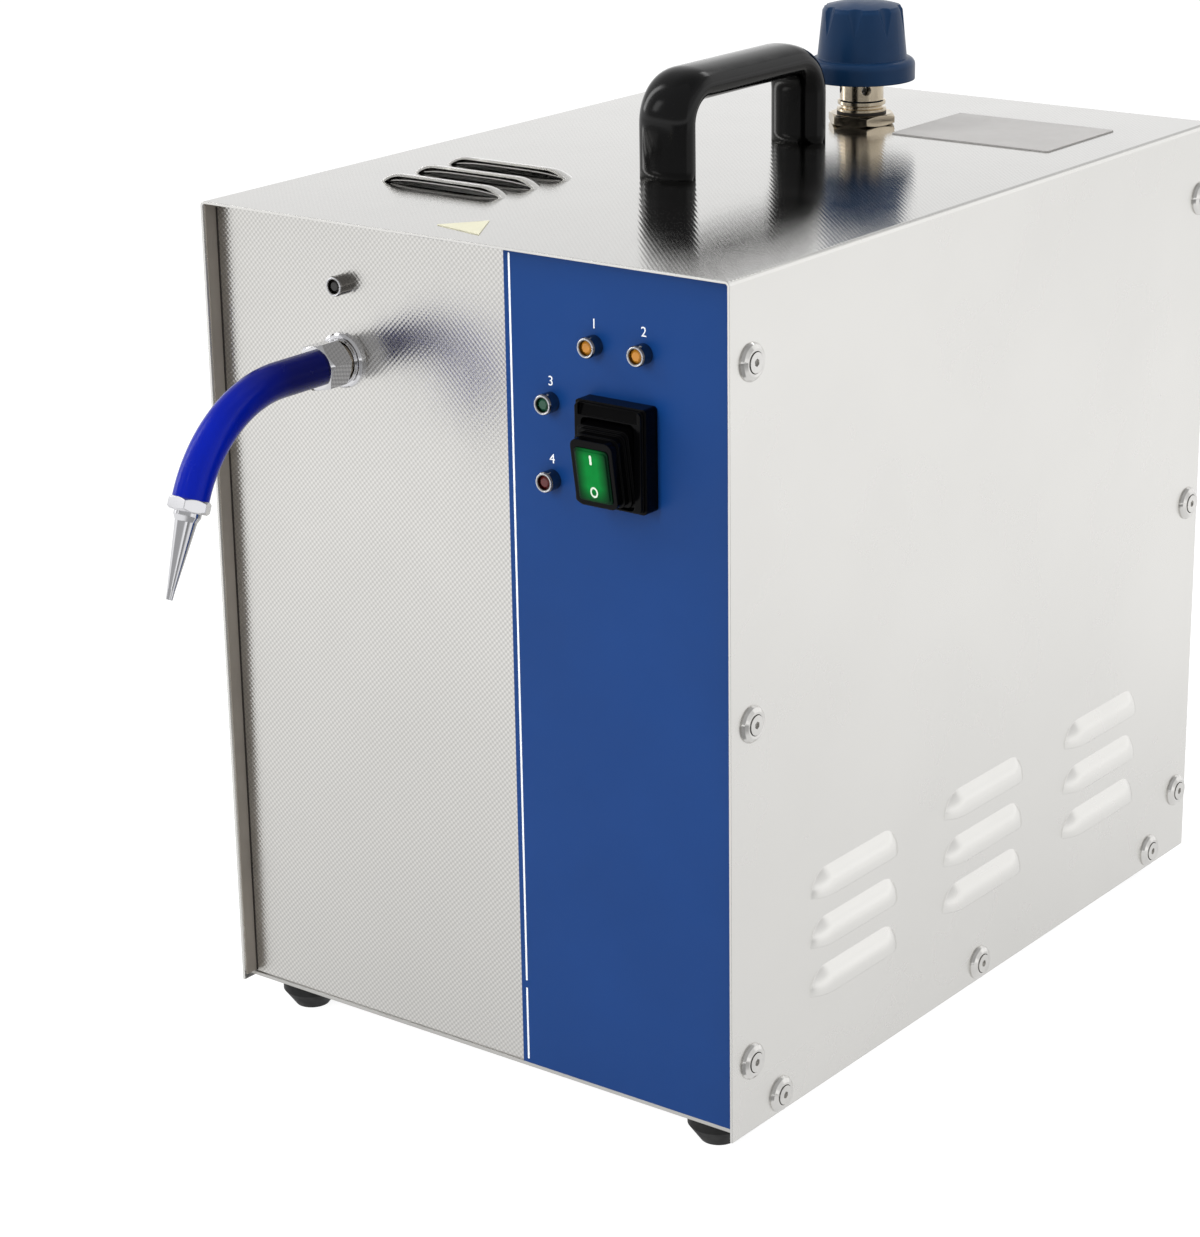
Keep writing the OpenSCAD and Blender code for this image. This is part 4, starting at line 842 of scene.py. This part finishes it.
class Mixer:
    """Short calls for the world's and the floor's node trees."""

    def __init__(self, tree):
        self.tree = tree

    def add(self, kind, inputs=(), **settings):
        node = self.tree.nodes.new(kind)
        for key, value in settings.items():
            setattr(node, key, value)
        for key, value in dict(inputs).items():
            if isinstance(value, bpy.types.NodeSocket):
                self.tree.links.new(value, node.inputs[key])
            else:
                node.inputs[key].default_value = value
        return node

    def math(self, operation, a, b):
        return self.add("ShaderNodeMath", {0: a, 1: b}, operation=operation).outputs[0]

    def ramp(self, value, stops):
        """A smooth run of grey levels, from (place, level) stops."""
        ramp = self.add("ShaderNodeValToRGB", {0: value})
        ramp.color_ramp.interpolation = "EASE"
        first, last = ramp.color_ramp.elements
        first.position, first.color = stops[0][0], (stops[0][1],) * 3 + (1,)
        last.position, last.color = stops[-1][0], (stops[-1][1],) * 3 + (1,)
        for place, level in stops[1:-1]:
            ramp.color_ramp.elements.new(place).color = (level,) * 3 + (1,)
        return ramp.outputs[0]

    def sector(self, x, y):
        """1 where the bearing (x, y) points at the dim part of the floor, falling to 0 beside it."""
        part_x, part_y = (self.math("MULTIPLY", value, way) for value, way in zip((x, y), DIM_TOWARDS))
        xx, yy = (self.math("MULTIPLY", value, value) for value in (x, y))
        length = self.math("POWER", self.math("ADD", xx, yy), 0.5)
        cosine = self.math("DIVIDE", self.math("ADD", part_x, part_y), length)
        return self.ramp(cosine, SECTOR_STOPS)

    def window(self, split, bearing, half, low, high):
        """1 in a window of the sky: a bearing in degrees from the front to the right, and a range of heights."""
        a = math.radians(bearing)
        direction = (math.sin(a), -math.cos(a), 0.0)
        flat = self.add("ShaderNodeCombineXYZ", {0: split.outputs["X"], 1: split.outputs["Y"]}).outputs[0]
        unit = self.add("ShaderNodeVectorMath", {0: flat}, operation="NORMALIZE").outputs[0]
        cosine = self.add("ShaderNodeVectorMath", {0: unit, 1: direction}, operation="DOT_PRODUCT").outputs["Value"]
        edge = math.cos(math.radians(half))
        near = self.smooth(cosine, edge, edge + (1 - edge) * 0.4)
        above = self.smooth(split.outputs["Z"], low, low + 0.06)
        below = self.smooth(split.outputs["Z"], high, high - 0.1)
        return self.math("MULTIPLY", self.math("MULTIPLY", near, above), below)

    def smooth(self, value, start, end):
        """0 at the start and 1 at the end, with no corner at either."""
        return self.add(
            "ShaderNodeMapRange", {"Value": value, "From Min": start, "From Max": end}, interpolation_type="SMOOTHSTEP"
        ).outputs["Result"]

    def plus(self, level, window, strength):
        """level, made brighter where the window is 1."""
        glow = (strength, strength, strength, 1)
        mix = self.add("ShaderNodeMix", {0: window, 6: level, 7: glow}, data_type="RGBA", blend_type="ADD")
        return mix.outputs[2]

    def dimmed(self, level, sector, dark):
        """level, brought down to dark where the sector is 1."""
        mix = self.add("ShaderNodeMix", {0: sector, 6: level, 7: (dark, dark, dark, 1)}, data_type="RGBA")
        return mix.outputs[2]


# the room as diffuse light sees it, and as gloss sees it: levels by height, a dimmer front, and bright windows
ROOM_LEVEL = 0.62
SKY_STOPS = [(0.0, 1.2), (0.16, 1.14), (0.25, 0.88), (0.42, 0.82), (0.75, 0.5), (1.0, 0.35)]
FRONT_PART = (5, 75, 0.05, 1.2)  # bearing and half width in degrees, lowest and highest height
FRONT_LEVEL = 0.48
# the same four numbers, and a strength
WINDOWS = [(-78, 7, 0.08, 0.8, 4.0), (-44, 5, 0.24, 0.6, 2.0), (150, 24, 0.2, 0.7, 0.3), (-178, 16, 0.6, 0.8, 2.5)]

# the floor as gloss sees it: levels by the distance from the case's front corner, and one dim sector
FRONT_CORNER = (0.125, -0.149, 0.0)
FLOOR_STOPS = [(0.0, 0.84), (0.15, 0.86), (0.9, 1.04), (1.0, 1.05)]
DIM_TOWARDS = (0.61, -0.792)
SECTOR_STOPS = [(0.0, 0.0), (0.62, 0.0), (0.86, 1.0), (1.0, 1.0)]
DIM_LEVEL = 0.2
GLOSS_SHARE = 0.8

# the floor as the camera sees it: mostly its own white, and the rest keeps the shadow
FLOOR_HALF = 8.0
FLOOR_WHITE, WHITE_SHARE = 1.22, 0.75


def make_world():
    """An even room light; in gloss the room is pale low down, and dimmer overhead and in front."""
    world = bpy.data.worlds.new("studio")
    bpy.context.scene.world = world
    world.use_nodes = True
    m = Mixer(world.node_tree)
    world.node_tree.nodes.clear()
    split = m.add("ShaderNodeSeparateXYZ", {0: m.add("ShaderNodeTexCoord").outputs["Generated"]})
    path = m.add("ShaderNodeLightPath")
    room = m.add("ShaderNodeBackground", {"Color": (1, 1, 1, 1), "Strength": ROOM_LEVEL})
    level = m.ramp(split.outputs["Z"], SKY_STOPS)
    level = m.dimmed(level, m.window(split, *FRONT_PART), FRONT_LEVEL)
    for *place, strength in WINDOWS:
        level = m.plus(level, m.window(split, *place), strength)
    gloss = m.add("ShaderNodeBackground", {"Color": level})
    white = m.add("ShaderNodeBackground", {"Color": (1, 1, 1, 1)})
    last = room.outputs[0]
    for ray, shade in (("Is Glossy Ray", gloss), ("Is Camera Ray", white)):
        last = m.add("ShaderNodeMixShader", {0: path.outputs[ray], 1: last, 2: shade.outputs[0]}).outputs[0]
    m.add("ShaderNodeOutputWorld", {0: last})


make_world()


def make_floor():
    """A floor that is white to the camera but keeps the shadow, and pale in gloss."""
    corners = [(x * FLOOR_HALF, y * FLOOR_HALF, 0) for x, y in ((-1, -1), (1, -1), (1, 1), (-1, 1))]
    mesh = mesh_from("floor", corners, [(0, 1, 2, 3)], 1)
    floor = bpy.data.objects.new("floor", mesh)
    bpy.context.scene.collection.objects.link(floor)
    g = Graph("pale_floor")
    g.shader.inputs["Base Color"].default_value = (0.9, 0.9, 0.9, 1)
    g.shader.inputs["Roughness"].default_value = 0.9
    m = Mixer(g.tree)
    path = m.add("ShaderNodeLightPath")
    white = m.add("ShaderNodeEmission", {"Color": (1, 1, 1, 1), "Strength": FLOOR_WHITE}).outputs[0]
    seen = g.math("MAXIMUM", path.outputs["Is Camera Ray"], path.outputs["Is Transmission Ray"])
    share = g.math("MULTIPLY", seen, WHITE_SHARE)
    last = m.add("ShaderNodeMixShader", {0: share, 1: g.shader.outputs[0], 2: white}).outputs[0]
    corner = m.add("ShaderNodeVectorMath", {0: g.place, 1: FRONT_CORNER}, operation="SUBTRACT").outputs[0]
    split = m.add("ShaderNodeSeparateXYZ", {0: corner})
    dim = m.sector(split.outputs["X"], split.outputs["Y"])
    distance = m.add("ShaderNodeVectorMath", {0: corner}, operation="LENGTH").outputs["Value"]
    level = m.dimmed(m.ramp(distance, FLOOR_STOPS), dim, DIM_LEVEL)
    seen_in_gloss = m.add("ShaderNodeEmission", {"Color": level}).outputs[0]
    share = g.math("MULTIPLY", path.outputs["Is Glossy Ray"], GLOSS_SHARE)
    last = m.add("ShaderNodeMixShader", {0: share, 1: last, 2: seen_in_gloss}).outputs[0]
    g.feed(last, g.tree.nodes["Material Output"].inputs["Surface"])
    mesh.materials.append(g.material)


make_floor()
bpy.context.scene.view_settings.view_transform = "Standard"
